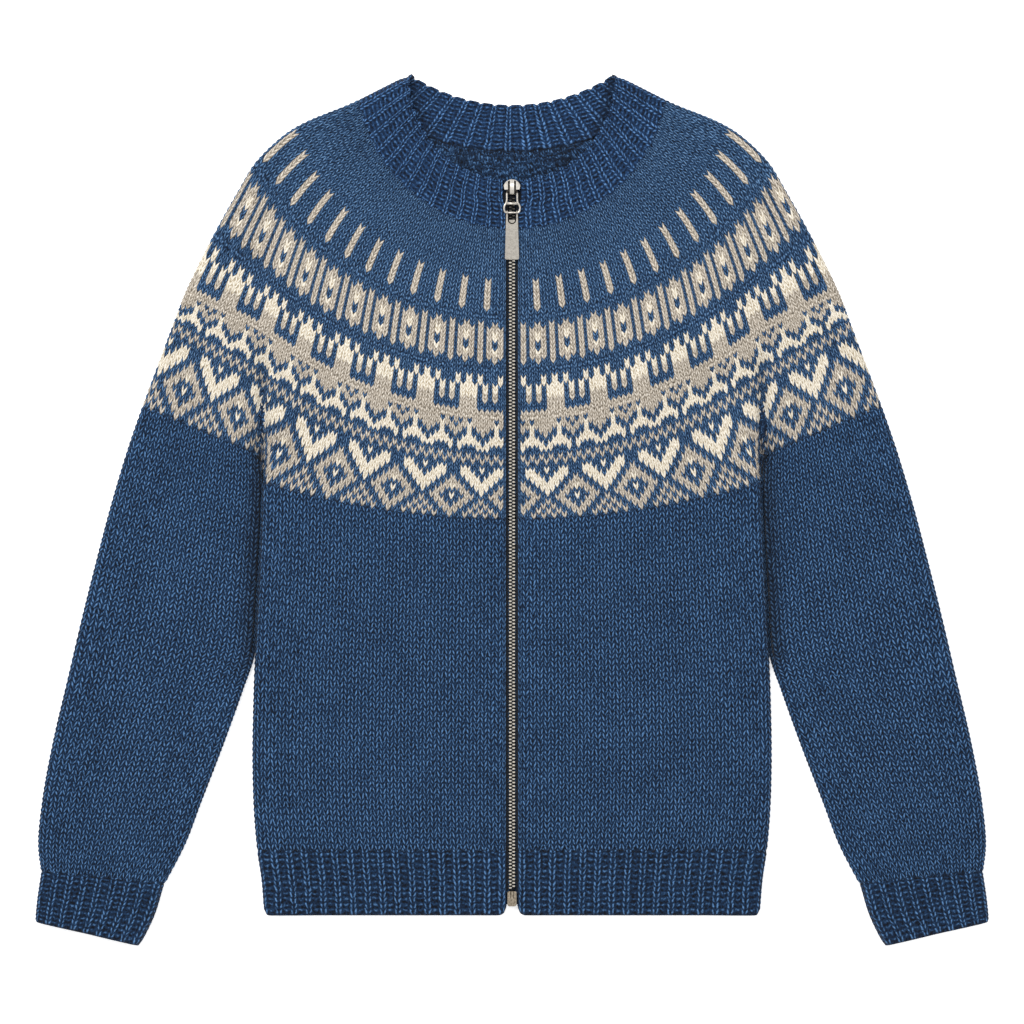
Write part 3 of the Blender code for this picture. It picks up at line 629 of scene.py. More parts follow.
# %% Close the wall
def plain_skin(inner, rows, columns, knit_rows, knit_stitches):
    """A grid over the inner table, with stitch places for the purl shading."""
    row, column = np.meshgrid(np.linspace(0, 1, rows), np.linspace(0, 1, columns), indexing="ij")
    points = read_table(inner, row * (inner.shape[0] - 1), column * (inner.shape[1] - 1))
    stitches = np.stack([column * knit_stitches, row * knit_rows], axis=-1)
    return {"points": points, "stitches": stitches, "sheet": np.stack([column, row], axis=-1), "yarn": 0.0}


def close_piece(piece, inner, normals, first, last, sides, closed, inner_skin):
    """Inner skin, then a fan along the top, the bottom and each open end of the wall."""
    plain = not isinstance(inner_skin, dict)
    part = plain_skin(inner, *inner_skin) if plain else knit_band(inner, -normals, **inner_skin)
    column, row = np.moveaxis(part["sheet"], -1, 0)
    numbers = piece.add_points(part["points"], closed)
    edge_low = OUTER_SHARE + INNER_SHARE
    edge_step = (1.0 - edge_low) / 4
    bake = sheet_box(part["sheet"], OUTER_SHARE, edge_low)
    piece.add_grid(numbers, part["stitches"], bake, part["yarn"], int(plain), True)
    edges = [
        (first[0][0], first[1][0, :, 0], numbers[0], column[0], True),
        (last[0][-1], last[1][-1, :, 0], numbers[-1], column[-1], False),
    ]
    if not closed:
        for line, inner_line, turned in ((0, numbers[:, 0], False), (1, numbers[:, -1], True)):
            outer_line = np.concatenate(sides[line])
            steps = np.linspace(0.0, 1.0, len(outer_line))
            edges.append((outer_line, steps, inner_line, row[:, 0], turned))
    for edge_number, (outer_line, outer_at, inner_line, inner_at, flip) in enumerate(edges):
        low = edge_low + edge_number * edge_step
        count = len(outer_line)
        every = np.concatenate([outer_line, inner_line])
        number = np.arange(len(every))
        faces = fan_faces(number[:count], number[count:], outer_at, inner_at)
        if flip:
            faces = faces[:, ::-1]
        across = np.concatenate([outer_at, inner_at])
        level = (number >= count).astype(float)
        bake = sheet_box(np.stack([across, level], axis=-1), low, low + edge_step)
        stitches = np.stack([across * count / 8, level], axis=-1)
        piece.add_faces(every[faces], stitches[faces], bake[faces], 0.0, 0)


print("bake square: outer to", OUTER_SHARE, "inner to", OUTER_SHARE + INNER_SHARE)

# %% [markdown]
# ## Materials
# The sweater is heathered lambswool: fibres of several blues are carded together
# before spinning, so each stitch is a little lighter or darker than the next. The
# undyed yarns of the yoke are a natural greige and a cream. Woolly fibre scatters
# light at the surface, so the finish is rough with a faint sheen and no gloss.

# %% Node and colour helpers
def linear(code):
    """sRGB hex to linear: a straight line near black, else ((value + 0.055) / 1.055) to 2.4."""
    value = np.array([int(code[place:place + 2], 16) for place in (1, 3, 5)]) / 255
    value = np.where(value <= 0.04045, value / 12.92, ((value + 0.055) / 1.055) ** 2.4)
    return (*value.tolist(), 1.0)


def add_node(material, kind, settings=(), **inputs):
    """Adds one node. Settings go on the node, and each input is a value or another socket."""
    tree = material.node_tree
    node = tree.nodes.new(kind)
    for name, value in dict(settings).items():
        setattr(node, name, value)
    for name, value in inputs.items():
        name = name.replace("_", " ")
        socket = node.inputs[int(name[1:])] if name[0] == "i" and name[1:].isdigit() else node.inputs[name]
        if isinstance(value, bpy.types.NodeSocket):
            tree.links.new(value, socket)
        else:
            socket.default_value = value
    return node


def new_material(name, **surface):
    """A material with one Principled shader, whose constant values are set on its sockets."""
    material = bpy.data.materials.new(name)
    material.use_nodes = True
    material.node_tree.nodes.clear()
    shader = add_node(material, "ShaderNodeBsdfPrincipled", **surface)
    add_node(material, "ShaderNodeOutputMaterial", Surface=shader.outputs[0])
    return material, shader


def formula(material, value, *steps):
    """Runs a value through steps. SMOOTH is a smooth step from one output, at a low place, to
    another at a high one; the others are the operations of a Math node with one more value."""
    for operation, *numbers in steps:
        if operation == "SMOOTH":
            inputs = dict(zip(("From_Min", "From_Max", "To_Min", "To_Max"), numbers))
            settings = {"interpolation_type": "SMOOTHSTEP"}
            node = add_node(material, "ShaderNodeMapRange", settings, Value=value, **inputs)
        else:
            inputs = dict(zip(("i0", "i1"), (value, *numbers)))
            node = add_node(material, "ShaderNodeMath", {"operation": operation}, **inputs)
        value = node.outputs[0]
    return value


print("heather blue in linear light:", linear("#2d4f7d"))

# %% [markdown]
# The stitch map says where each point is in its stitch, so the shader can darken the
# hollows between legs and rows, where wool shades itself. A knit face shows two leaning
# legs in each stitch, and a purl face a wavy rung. Hand knitting isn't even, so the
# places in the stitch wander a little with a slow noise.

# %% Stitch patterns for the shader
LEG_LEAN = 0.22
LEG_WIDTH = 0.25
RIB_LEAN = 0.13
RIB_LEG_WIDTH = 0.19


def shade_mix(material, value, shades):
    """Colour from dark to middle to light as the value goes from 0 to 1."""
    ramp = add_node(material, "ShaderNodeValToRGB", Fac=value)
    stops = ramp.color_ramp.elements
    stops[0].color = linear(shades[0])
    stops[1].color = linear(shades[2])
    stops.new(0.5).color = linear(shades[1])
    return ramp.outputs[0]


def speckle(material, place, size, amount):
    """Noise of a feature size in metres, less a half, times an amount."""
    noise = add_node(material, "ShaderNodeTexNoise", Vector=place, Scale=1 / size, Detail=2.0, Roughness=0.6)
    return formula(material, noise.outputs[0], ("SUBTRACT", 0.5), ("MULTIPLY", amount))


def ridges(material, across, down, lean, width, row_low):
    """Height of knit legs, 0 to 1: dark away from each leaning leg's centre line, and between rows."""
    centre = formula(material, down, ("FRACT",), ("MULTIPLY", lean), ("ADD", 0.25 - lean / 2))
    aside = formula(material, across, ("PINGPONG", 0.5), ("SUBTRACT", centre), ("ABSOLUTE",))
    leg = formula(material, aside, ("SMOOTH", 0.04, width, 1.0, 0.12))
    row = formula(material, down, ("PINGPONG", 0.5), ("MULTIPLY", 2.0))
    return formula(material, row, ("SMOOTH", 0.0, 0.8, row_low, 1.0), ("MULTIPLY", leg))


def rungs(material, across, down):
    """Height of purl bumps, 0 to 1: a wavy ridge across each row, sunk between the stitches."""
    bump = formula(material, across, ("PINGPONG", 0.5))
    sunk = formula(material, bump, ("SMOOTH", 0.0, 0.3, 0.4, 1.0))
    return formula(
        material, bump, ("MULTIPLY", 0.9), ("ADD", down), ("PINGPONG", 0.5), ("SMOOTH", 0.1, 0.5, 0.0, 0.8),
        ("MULTIPLY", sunk),
    )


print("leg lean in a stitch and in a rib:", LEG_LEAN, RIB_LEAN)

# %% [markdown]
# Two noises do the heather: one about 2 mm across, a fleck on a single leg, and one
# about 30 mm across, the slow change along a ball of yarn. The finest fibres are under
# the render's pixel of 0.84 mm, so they are drawn as a 1 mm bump. Deep in a fold the
# colour is mixed towards near black by each piece's fold attribute: painted shade.

# %% Wool
WOOL_ROUGHNESS = 0.92
WOOL_SHEEN = 0.08
FLECK_SIZE = 0.002
CLOUD_SIZE = 0.03
FIBRE_SIZE = 0.001
WANDER = 0.9
WANDER_SIZE = 0.007
# Share and near-black colour of the painted shade deep in folds
PAINTED_FOLD_SHADE = 0.62
PAINTED_FOLD_DARK = "#05080f"
BLUE_SHADES = ("#060c18", "#193454", "#5d88b8")
# The neckband's blues are a lighter copy of the body's: painted light
NECK_LIT_BLUE_SHADES = ("#070f1d", "#1d3b61", "#628fc4")
YOKE_BLUE_SHADES = ("#0a1424", "#264467", "#6c92bb")
GREIGE_SHADES = ("#6e6558", "#beb3a4", "#efe7db")
CREAM_SHADES = ("#a8987c", "#efe6d4", "#fffaf0")
COLOURS = {"data_type": "RGBA"}


def wool(name, side, blues):
    """Lambswool on a knit, purl or rib face: heathered, with painted shade between stitches and deep
    in a fold and painted highlights along the legs, rough, with a faint sheen. The stitch places
    wander a little, as hand knitting does."""
    material, shader = new_material(
        name, Roughness=WOOL_ROUGHNESS, Sheen_Weight=WOOL_SHEEN, Sheen_Roughness=0.5, Specular_IOR_Level=0.2
    )
    place = add_node(material, "ShaderNodeTexCoord").outputs["Object"]
    stitch_place = add_node(material, "ShaderNodeUVMap", {"uv_map": "Stitches"}).outputs[0]
    parts = add_node(material, "ShaderNodeSeparateXYZ", Vector=stitch_place).outputs
    # The second attribute is how deep a point lies in a fold, for painted shade
    yarn, depth = [
        add_node(material, "ShaderNodeAttribute", {"attribute_name": attribute}).outputs["Fac"]
        for attribute in ("yarn", "hollow")
    ]
    shift = speckle(material, place, WANDER_SIZE, WANDER * (4.0 if side == "purl" else 1.0))
    across = formula(material, shift, ("MULTIPLY", 0.4), ("ADD", parts[0]))
    down = formula(material, shift, ("ADD", parts[1]))
    if side == "knit":
        raised = ridges(material, across, down, LEG_LEAN, LEG_WIDTH, 0.1)
    elif side == "purl":
        raised = rungs(material, across, down)
    else:
        knit = ridges(material, across, down, RIB_LEAN, RIB_LEG_WIDTH, 0.3)
        purl = formula(material, rungs(material, across, down), ("MULTIPLY", 0.85))
        sunk = formula(material, yarn, ("MINIMUM", 0.0), ("MULTIPLY", -1.0))
        either = add_node(material, "ShaderNodeMix", {"data_type": "FLOAT"}, i0=sunk, i2=knit, i3=purl)
        raised = either.outputs[0]
    # The colour runs from painted shade between legs and rows to painted highlights along each leg, with
    # heather flecks and clouds added
    value = formula(
        material, raised, ("MULTIPLY", 0.7), ("ADD", speckle(material, place, FLECK_SIZE, 1.4)),
        ("ADD", speckle(material, place, CLOUD_SIZE, 0.16)), ("ADD", 0.12),
    )
    yarn_shades = (blues, GREIGE_SHADES, CREAM_SHADES)
    blue, greige, cream = [shade_mix(material, value, shades) for shades in yarn_shades]
    past_greige = formula(material, yarn, ("SUBTRACT", 1.0))
    # Painted shade deep in folds: the colour is mixed towards near black
    deep = formula(material, depth, ("MULTIPLY", PAINTED_FOLD_SHADE))
    colour = blue
    for share, shade in ((yarn, greige), (past_greige, cream), (deep, linear(PAINTED_FOLD_DARK))):
        colour = add_node(material, "ShaderNodeMix", COLOURS, i0=share, i6=colour, i7=shade).outputs[2]
    material.node_tree.links.new(colour, shader.inputs["Base Color"])
    height = formula(material, raised, ("ADD", speckle(material, place, FIBRE_SIZE, 0.5)))
    bump = add_node(material, "ShaderNodeBump", Height=height, Strength=0.6, Distance=0.0008)
    material.node_tree.links.new(bump.outputs[0], shader.inputs["Normal"])
    return material


WOOLS = (
    ("lambswool, knit side", "knit", BLUE_SHADES),
    ("lambswool, ribbed", "rib", BLUE_SHADES),
    ("lambswool, ribbed, painted lighter at the neck", "rib", NECK_LIT_BLUE_SHADES),
    ("stranded lambswool, knit side", "knit", YOKE_BLUE_SHADES),
)
purl_side = wool("lambswool, purl side", "purl", BLUE_SHADES)
wool_sides, rib_sides, neck_sides, yoke_sides = [(wool(*row), purl_side) for row in WOOLS]
print("wool:", [row[0] for row in WOOLS], purl_side.name)

# %% [markdown]
# ## The yoke's charts
# Colourwork is planned on squared paper, one square to a stitch, and repeated round
# the yoke. These charts are this sweater's repeats, read row by row from the neck
# down: a dot is blue, b is greige and c is cream. In order they are plain rows and
# bars, lozenges between bars, turrets, tents with two rows of dots, and large Vs
# between diamonds.

# %% Charts
YARN_OF = {".": 0, "b": 1, "c": 2}
BARS = " ".join(["...."] * 13 + ["b..."] * 7 + ["...."])
LOZENGES = """
...... ...... .b..b. bbb.b. bcb.b. bcb.b. b.b.b. b.b.b. bcb.b. bbb.b. .b..b. ......
"""
TURRETS = """
........ ........ c.c...c. c.c...c. cc.c.c.c cc.c.c.c cc.b.b.c bb.b.b.b bb.....b bb.....b bbbbbbbb
"""
TENTS = """
bbbbbbbbbbbb
.bbbbb.b.b.b
cbbbbbcbb.bb
c.bbb.c.bbb.
c..b..c..b..
cc...ccc...c
ccc.ccccc.cc
..ccc...c.c.
............
b.b.b.b.b.b.
.b.b.b.b.b.b
"""
DIAMONDS = """
............
c..cc...cc..
..ccc...ccc.
.ccc..b..ccc
ccc..bbb..cc
cc..bbcbb..c
c..bb...bb..
..bb..c..bb.
b..bb...bb..
.b..bb.bb..b
b.b..bbb..b.
.b.b..b..b.b
"""


def read_chart(chart, places):
    """Yarn numbers of a chart's rows at these stitches, the chart repeated side by side."""
    table = np.array([[YARN_OF[mark] for mark in line] for line in chart.split()])
    return table[:, places % table.shape[1]]


CHARTS = (BARS, LOZENGES, TURRETS, TENTS, DIAMONDS)
print("rows of knitting in the yoke:", sum(len(chart.split()) for chart in CHARTS))

# %% [markdown]
# Every band has its own stitch count, because a yoke widens by increases between the
# patterns. Light stitches spread and blue ones draw in beside them, so a band also has
# relative stitch widths. The two sides start at different places in the repeat, as they
# do on the photograph, where the zip cuts the pattern. The round begins with one blue
# edge stitch beside the zip.

# %% Bands of the yoke
EDGE_WIDTH = 0.6
BACK_SHARE = 0.7
JOIN_GAP = 0.2
BAND = ("start", "end", "count", "widths", "charts")
YOKE_BANDS = (
    (-YOKE_TUCK, 72.5, 48, (1.05, 1.0, 1.0, 1.0), ((BARS, 2, 2),)),
    (72.5, 117.0, 66, (1.22, 1.22, 1.22, 0.72, 1.2, 0.72), ((LOZENGES, 0, 4),)),
    (117.0, 157.1, 63, (1.1, 1.1, 0.95, 1.05, 0.85, 1.05, 0.95, 1.1), ((TURRETS, 2, 2),)),
    (157.1, YOKE_DEPTH, 78, (1.0,), ((TENTS, 11, 10), (DIAMONDS, 8, 7))),
)


def side_edges(widths, start, front_count, back_count):
    """Stitch edges from 0 at the zip to 1 at the fold and 2 at the centre back: summed widths."""
    places = start + np.arange(front_count + back_count)
    spread = np.asarray(widths)[places % len(widths)]
    front = np.concatenate([[EDGE_WIDTH], spread[:front_count]])
    back = spread[front_count:]
    return np.concatenate([[0.0], np.cumsum(front) / front.sum(), 1.0 + np.cumsum(back) / back.sum()])


def stockinette(across, down):
    """Lift of a plain knit stitch."""
    return stitch_lift(across, down, STITCH_DEPTH)


def tucked_stockinette(across, down):
    """Lift of a plain knit stitch whose first row is tucked under the piece above."""
    return stockinette(across, down) - tucked(down)


def yoke_bands():
    """Bands of the whole ring: stitch edges, yarns and fineness, from zip edge to zip edge."""
    bands = []
    above = None
    whole = YOKE_DEPTH + YOKE_TUCK
    for row in YOKE_BANDS:
        values = dict(zip(BAND, row))
        front_count = values["count"]
        count = np.arange(front_count + round(BACK_SHARE * front_count))
        left, right = [
            side_edges(values["widths"], start, front_count, len(count) - front_count)
            for start in values["charts"][0][1:]
        ]
        edges = np.concatenate([left / 4, 1.0 - right[-2::-1] / 4])
        rows = []
        for chart, left_start, right_start in values["charts"]:
            left_yarn = read_chart(chart, left_start + count)
            right_yarn = read_chart(chart, right_start + count)
            edge = np.zeros((len(left_yarn), 1))
            rows.append(np.concatenate([edge, left_yarn, right_yarn[:, ::-1], edge], axis=1))
        yarns = np.concatenate(rows)
        middle = (edges[:-1] + edges[1:]) / 2
        start = values["start"] + (JOIN_GAP if bands else 0.0)
        bands.append({
            "edges": edges,
            "row_span": ((start + YOKE_TUCK) / whole, (values["end"] + YOKE_TUCK) / whole),
            "rows": len(yarns),
            "finer": np.abs(middle - 0.5) > 0.25,
            "yarns": yarns,
            "profile": stockinette if bands else tucked_stockinette,
            "ragged": True,
            "above": above,
        })
        above = edges
    return bands


yoke_skin = (20, 121, 60, 250)
yoke = knit_piece("yoke_knit", yoke_outer, yoke_inner, yoke_bands(), yoke_sides, inner_skin=yoke_skin)

# %% [markdown]
# ## The body
# Fronts and back are plain stockinette. Their top row bends with the yoke's last
# round, and the bend eases away to a straight row at the hem. The ribbed hem is its own
# piece: columns of knit stitches stand up, and the purl columns between them sink and
# almost close, which is what makes rib stretch.

# %% Body panels
BODY_SIDE = (
    (26.9, 209.6), (-25.2, 211.3), (-75.6, 213.8), (-121.8, 216.3), (-159.6, 217.6),
    (-210.0, 218.4), (-260.4, 216.7), (-287.3, 214.2), (-310.8, 210.8), (-340.2, 208.6),
)
HEM_TOP_Y = -287.3
HEM_LOW_Y = -340.2
HEM_BACK_LOW_Y = -331.0
HEM_ROUND_AT_ZIP = 6.7
HEM_ROUND_AT_SIDE = 4.0
STITCH_WIDTH = 6.13
ROW_HEIGHT = 4.6
TUCK = 3.6


def body_half(y):
    """Half width of the body at a height, by the spline through the measured sides."""
    table = np.array(BODY_SIDE)[::-1]
    return spline(table[:, 0], table[:, 1], y)[0]


def panel_line(part, start_x):
    """A row between yoke and hem: the yoke's arc, flattened in proportion to the part."""
    top_y = YOKE_ROUNDS[-1][0]
    radius = YOKE_ROUNDS[-1][1]
    angle = np.linspace(math.asin(start_x / radius), math.asin(CREASE_X / radius), 80)
    arc_x = radius * np.sin(angle)
    sag = radius * (np.cos(angle[0]) - np.cos(angle)) * (1 - part)
    height = top_y * (1 - part) + HEM_TOP_Y * part
    half = body_half(height + sag[-1])
    x = start_x + (arc_x - start_x) / (arc_x[-1] - start_x) * (half - start_x)
    return np.stack([x, height + sag], axis=-1)


def front_table(lines):
    """Outer and inner tables of a front, from its zip edge to its side seam."""
    rows = [lay_row(line, ROW_POINTS, True, parted=True) for line in lines]
    return [np.array(side) for side in zip(*rows)]


def back_table(lines):
    """Outer and inner tables of a back, from one side seam to the other."""
    tables = []
    for side in zip(*[lay_row(line, ROW_POINTS, False, parted=True) for line in lines]):
        half = np.array(side)
        tables.append(np.concatenate([mirrored(half[:, ::-1]), half[:, 1:]], axis=1))
    return tables


def band_of(widths, rows, finer, profile, **more):
    """One band over a whole piece, with stitch edges from summed widths."""
    band = {
        "edges": np.concatenate([[0.0], np.cumsum(widths)]) / np.sum(widths),
        "row_span": (0.0, 1.0),
        "rows": rows,
        "finer": np.broadcast_to(finer, len(widths)),
        "yarns": np.zeros((rows, len(widths))),
        "profile": profile,
    }
    return {**band, **more}


def plain_band(widths, rows, finer):
    """A band of stockinette that ends in Vs."""
    return band_of(widths, rows, finer, tucked_stockinette, ragged=True)


def other_side(table):
    """The table of the piece on the other side of the zip, with its columns left to right."""
    return mirrored(table)[:, ::-1]


panel_parts = np.linspace(-TUCK / (YOKE_ROUNDS[-1][0] - HEM_TOP_Y), 1.0, 61)
front_outer, front_inner = front_table([panel_line(part, SLOT_HALF) for part in panel_parts])
back_outer, back_inner = back_table([panel_line(part, 0.0) for part in panel_parts])
body_rows = round((YOKE_ROUNDS[-1][0] + TUCK - HEM_TOP_Y) / ROW_HEIGHT)
front_stitches = round((BODY_SIDE[5][1] - SLOT_HALF) / STITCH_WIDTH)
front_widths = np.append(EDGE_WIDTH, np.ones(front_stitches))
front_skin = (20, 30, 61, 34)
front_left = knit_piece(
    "front_left_knit", front_outer, front_inner, [plain_band(front_widths, body_rows, True)],
    wool_sides, inner_skin=front_skin,
)
front_right = knit_piece(
    "front_right_knit", other_side(front_outer), other_side(front_inner),
    [plain_band(front_widths[::-1], body_rows, True)], wool_sides, inner_skin=front_skin,
)
back = knit_piece(
    "back_knit", back_outer[:, ::-1], back_inner[:, ::-1],
    [plain_band(np.ones(2 * front_stitches), body_rows, False)], wool_sides, inner_skin=(20, 60, 61, 68),
)

# %% [markdown]
# Rib is worked here as pairs of columns: a knit column, wide and raised, then a purl
# column, narrow and deep. Where a purl column shows, its rows are small level bumps.

# %% Rib and the hem
RIB_WIDTHS = (1.15, 0.85)
RIB_CHEVRON = 0.55
RIB_DEPTH = 1.3
RIB_STITCH_DEPTH = 0.8
RIB_BUMP = 0.25
RIB_ROUND_ROWS = 0.9
HEM_RIBS = 16
HEM_ROWS = 12


def rib_lift(across, down, from_edge, from_join):
    """Knit columns lift as stockinette; purl columns sink by a sine, with small level bumps.
    Near the free edge the wall is round: 1 mm times the square of the part still to go.
    Near the joined edge it is tucked under."""
    column = across % 2.0
    knit = stitch_lift(across, down, RIB_STITCH_DEPTH)
    sink = np.sin(math.pi * np.clip(column - 1, 0.0, 1.0))
    bumps = RIB_BUMP * np.cos(2 * math.pi * down) * sink
    purl = bumps - RIB_STITCH_DEPTH - (RIB_DEPTH - RIB_STITCH_DEPTH) * sink
    rounding = np.clip(1.0 - from_edge / RIB_ROUND_ROWS, 0.0, 1.0) ** 2
    return np.where(column < 1, knit, purl) - rounding - tucked(from_join)


def rib_band(ribs, rows, finer=True, closed=False):
    """Knit and purl columns by turns; an open row also ends in a knit column."""
    count = 2 * ribs + (0 if closed else 1)
    return band_of(
        np.tile(RIB_WIDTHS, ribs + 1)[:count], rows, finer,
        lambda across, down: rib_lift(across, down, rows - down, down),
        yarns=np.tile(-(np.arange(count) % 2.0), (rows, 1)), chevron=RIB_CHEVRON,
    )


def round_off(offset, radius):
    """How far a rounded corner draws an edge back: radius less the circle's height there."""
    inside = np.clip(radius - offset, 0.0, radius)
    return radius - np.sqrt(radius ** 2 - inside ** 2)


def hem_line(part, low_y, start_x):
    """A straight row of the hem."""
    y = HEM_TOP_Y * (1 - part) + low_y * part
    return np.stack([np.linspace(start_x, body_half(y), 80), np.full(80, y)], axis=-1)


hem_parts = np.linspace(-TUCK / (HEM_TOP_Y - HEM_LOW_Y), 1.0, 24)
hem_outer, hem_inner = front_table([hem_line(part, HEM_LOW_Y, SLOT_HALF) for part in hem_parts])
for table in (hem_outer, hem_inner):
    lift = round_off(table[..., 0] - SLOT_HALF, HEM_ROUND_AT_ZIP)
    lift = lift + round_off(table[:, -1:, 0] - table[..., 0], HEM_ROUND_AT_SIDE)
    table[..., 1] += lift * np.clip(hem_parts, 0.0, 1.0)[:, None]
hem_back_outer, hem_back_inner = back_table([hem_line(part, HEM_BACK_LOW_Y, 0.0) for part in hem_parts])
hem_bands = [rib_band(HEM_RIBS, HEM_ROWS)]
hem_skin = (6, 34, 12, 34)
hem_left = knit_piece(
    "hem_front_left_knit", hem_outer, hem_inner, hem_bands, rib_sides, inner_skin=hem_skin,
)
hem_right = knit_piece(
    "hem_front_right_knit", other_side(hem_outer), other_side(hem_inner), hem_bands, rib_sides,
    inner_skin=hem_skin,
)
hem_back = knit_piece(
    "hem_back_knit", hem_back_outer[:, ::-1], hem_back_inner[:, ::-1],
    [rib_band(2 * HEM_RIBS, HEM_ROWS - 1, False)], rib_sides, inner_skin=(6, 68, 12, 68),
)

# %% [markdown]
# ## Sleeves and cuffs
# A sleeve is a tube that is knitted in rounds and narrows to its cuff. Laid flat, it
# has a fold on both sides. The table gives both folds at ten heights.

# %% Sleeves and cuffs
SLEEVE_ROWS = (
    (311.2, 85.7, 210.4, 45.4), (321.7, 55.4, 208.6, 19.5), (336.0, 8.4, 209.6, -25.2),
    (349.4, -42.0, 212.4, -75.6), (362.0, -92.4, 215.6, -121.8), (373.8, -142.8, 225.6, -152.9),
    (385.6, -193.2, 241.9, -198.2), (394.8, -243.6, 260.4, -246.1), (398.2, -281.4, 275.1, -283.9),
    (395.6, -304.1, 291.5, -315.0),
)
CUFF_ROWS = ((395.6, -304.1, 291.5, -315.0), (399.0, -327.6, 299.9, -341.9), (400.7, -345.6, 311.8, -366.2))
SLEEVE_STITCHES = 22
SLEEVE_KNIT_ROWS = 86
CUFF_RIBS = 9
CUFF_KNIT_ROWS = 12
BESIDE_BODY_TO = -115.0
CLEAR_OF_BODY_AT = -165.0
TUCKED_LOW = 2.2
TUCKED_REACH = 15.0
THIN_WALL_SHARE = 0.35


def tube_table(ends, rows):
    """Outer and inner rings of a flattened tube: a quarter fold, flat, two quarters, flat, a quarter."""
    ends = np.array(ends)
    middle_y = (ends[:, 1] + ends[:, 3]) / 2
    ends = spline(-middle_y, ends, np.linspace(-middle_y[0] - TUCK, -middle_y[-1], rows))
    inner_end = ends[:, 3:]
    width = np.hypot(*(ends[:, 2:] - ends[:, :2]).T)[:, None]
    heading = (ends[:, 2:] - ends[:, :2]) / width
    flat = width - 2 * FOLD_REACH
    passed = np.linspace(0.0, 1.0, ROW_POINTS // 2)[None, :] * (flat + 2 * QUARTER_FOLD)
    turn_in = np.clip(1 - passed / QUARTER_FOLD, 0.0, 1.0)
    turn_out = np.clip((passed - QUARTER_FOLD - flat) / QUARTER_FOLD, 0.0, 1.0)
    turn = (turn_in + turn_out) * math.pi / 2
    middle = FOLD_HEIGHT / 2
    tables = []
    for wall in (0.0, WALL):
        near = wall + (FOLD_REACH - wall) * (1 - np.sin(turn))
        flat_reach = FOLD_REACH + passed - QUARTER_FOLD
        reach = np.where(turn_in > 0, near, np.where(turn_out > 0, width - near, flat_reach))
        clear = 1.0 - ease((inner_end - CLEAR_OF_BODY_AT) / (BESIDE_BODY_TO - CLEAR_OF_BODY_AT))
        full = np.maximum(swell(reach), swell(width - reach) * clear)
        top = FLAT_HEIGHT + (FOLD_HEIGHT - FLAT_HEIGHT) * full
        beside = (reach > width / 2) * (1.0 - clear)
        slope = TUCKED_LOW + (top - TUCKED_LOW) * ease((width - reach) / TUCKED_REACH)
        round_top = middle * (1.0 + np.cos(turn))
        upper = np.where(turn > 0, round_top, top) * (1.0 - beside) + slope * beside
        centre = middle * (1.0 - beside) + TUCKED_LOW * beside
        under = centre * (1.0 - np.cos(turn))
        local_wall = np.minimum(wall, THIN_WALL_SHARE * (upper - under) + 0.01)
        upper = upper - local_wall
        under = under + local_wall
        plan = ends[:, None, :2] + reach[..., None] * heading[:, None, :]
        over = np.concatenate([plan, upper[..., None]], axis=-1)
        below = np.concatenate([plan, under[..., None]], axis=-1)[:, -2::-1]
        tables.append(np.concatenate([over, below], axis=1))
    return tables


def half_fine(count):
    """Which columns of a ring are on its upper side."""
    return np.arange(count) < count / 2


def both_sides(name, tables, band, materials):
    """The left piece and its mirror image."""
    skin = (16, 41, band["rows"], len(band["edges"]) - 1)
    return [
        knit_piece(name + "_left_knit", *tables, [band], materials, True, skin),
        knit_piece(name + "_right_knit", *map(mirrored, tables), [band], materials, True, skin),
    ]


sleeve_tables = tube_table(SLEEVE_ROWS, 90)
sleeve_band = plain_band(np.ones(2 * SLEEVE_STITCHES), SLEEVE_KNIT_ROWS, half_fine(2 * SLEEVE_STITCHES))
sleeves = both_sides("sleeve", sleeve_tables, sleeve_band, wool_sides)
cuff_tables = tube_table(CUFF_ROWS, 24)
cuff_band = rib_band(2 * CUFF_RIBS, CUFF_KNIT_ROWS, half_fine(4 * CUFF_RIBS), closed=True)
cuffs = both_sides("cuff", cuff_tables, cuff_band, rib_sides)

# %% [markdown]
# ## The neckband
# The band stands round the neck and folds at the shoulders, so the front shows its
# outside and the back shows its inside. Both sides of rib look alike, so the inner skin
# has ribs too, wider apart at the back of the neck.

# %% Neckband
NECK_RIBS_FRONT = 14
NECK_RIBS_BACK = 8
NECK_RIB_WIDTHS = (0.85, 1.15)
NECK_ROWS = 12
NECK_RIDGE = 2.4
COLLAR_POINT = (86.0, 366.2)
COLLAR_ROUND = 6.0
COLLAR_DRAWN = (2.0, 0.2)
NECK_SCALLOP = 0.6
front_ends, back_ends = [[round_line(row, side, 0.0) for row in NECK_ROUNDS] for side in ("front", "back")]
neck_fronts = []
neck_backs = []
for part in np.linspace(0.0, 1.0, 24):
    front_line = front_ends[0] * (1 - part) + front_ends[1] * part
    edge = slot_half(front_line[0, 1])
    start_y = np.interp(edge, front_line[:, 0], front_line[:, 1])
    neck_fronts.append(np.concatenate([[[edge, start_y]], front_line[front_line[:, 0] > edge]]))
    neck_backs.append(back_ends[0] * (1 - part) + back_ends[1] * part)
neck_outer, neck_inner = ring_table(neck_fronts, neck_backs, False)
for table, drawn in zip((neck_outer, neck_inner), COLLAR_DRAWN):
    from_point = np.hypot(np.abs(table[..., 0]) - COLLAR_POINT[0], table[..., 1] - COLLAR_POINT[1])
    table[..., 1] -= drawn * bell(from_point, COLLAR_ROUND)


def neck_edges(widths):
    """Column edges round the band: summed widths of the front's ribs, then of the back's."""
    front = np.cumsum(np.tile(widths, NECK_RIBS_FRONT))
    back = np.cumsum(np.tile(widths, NECK_RIBS_BACK))
    half = np.concatenate([[0.0], front / front[-1], 1.0 + back / back[-1]]) / 4
    return np.concatenate([half, 1.0 - half[-2::-1]])


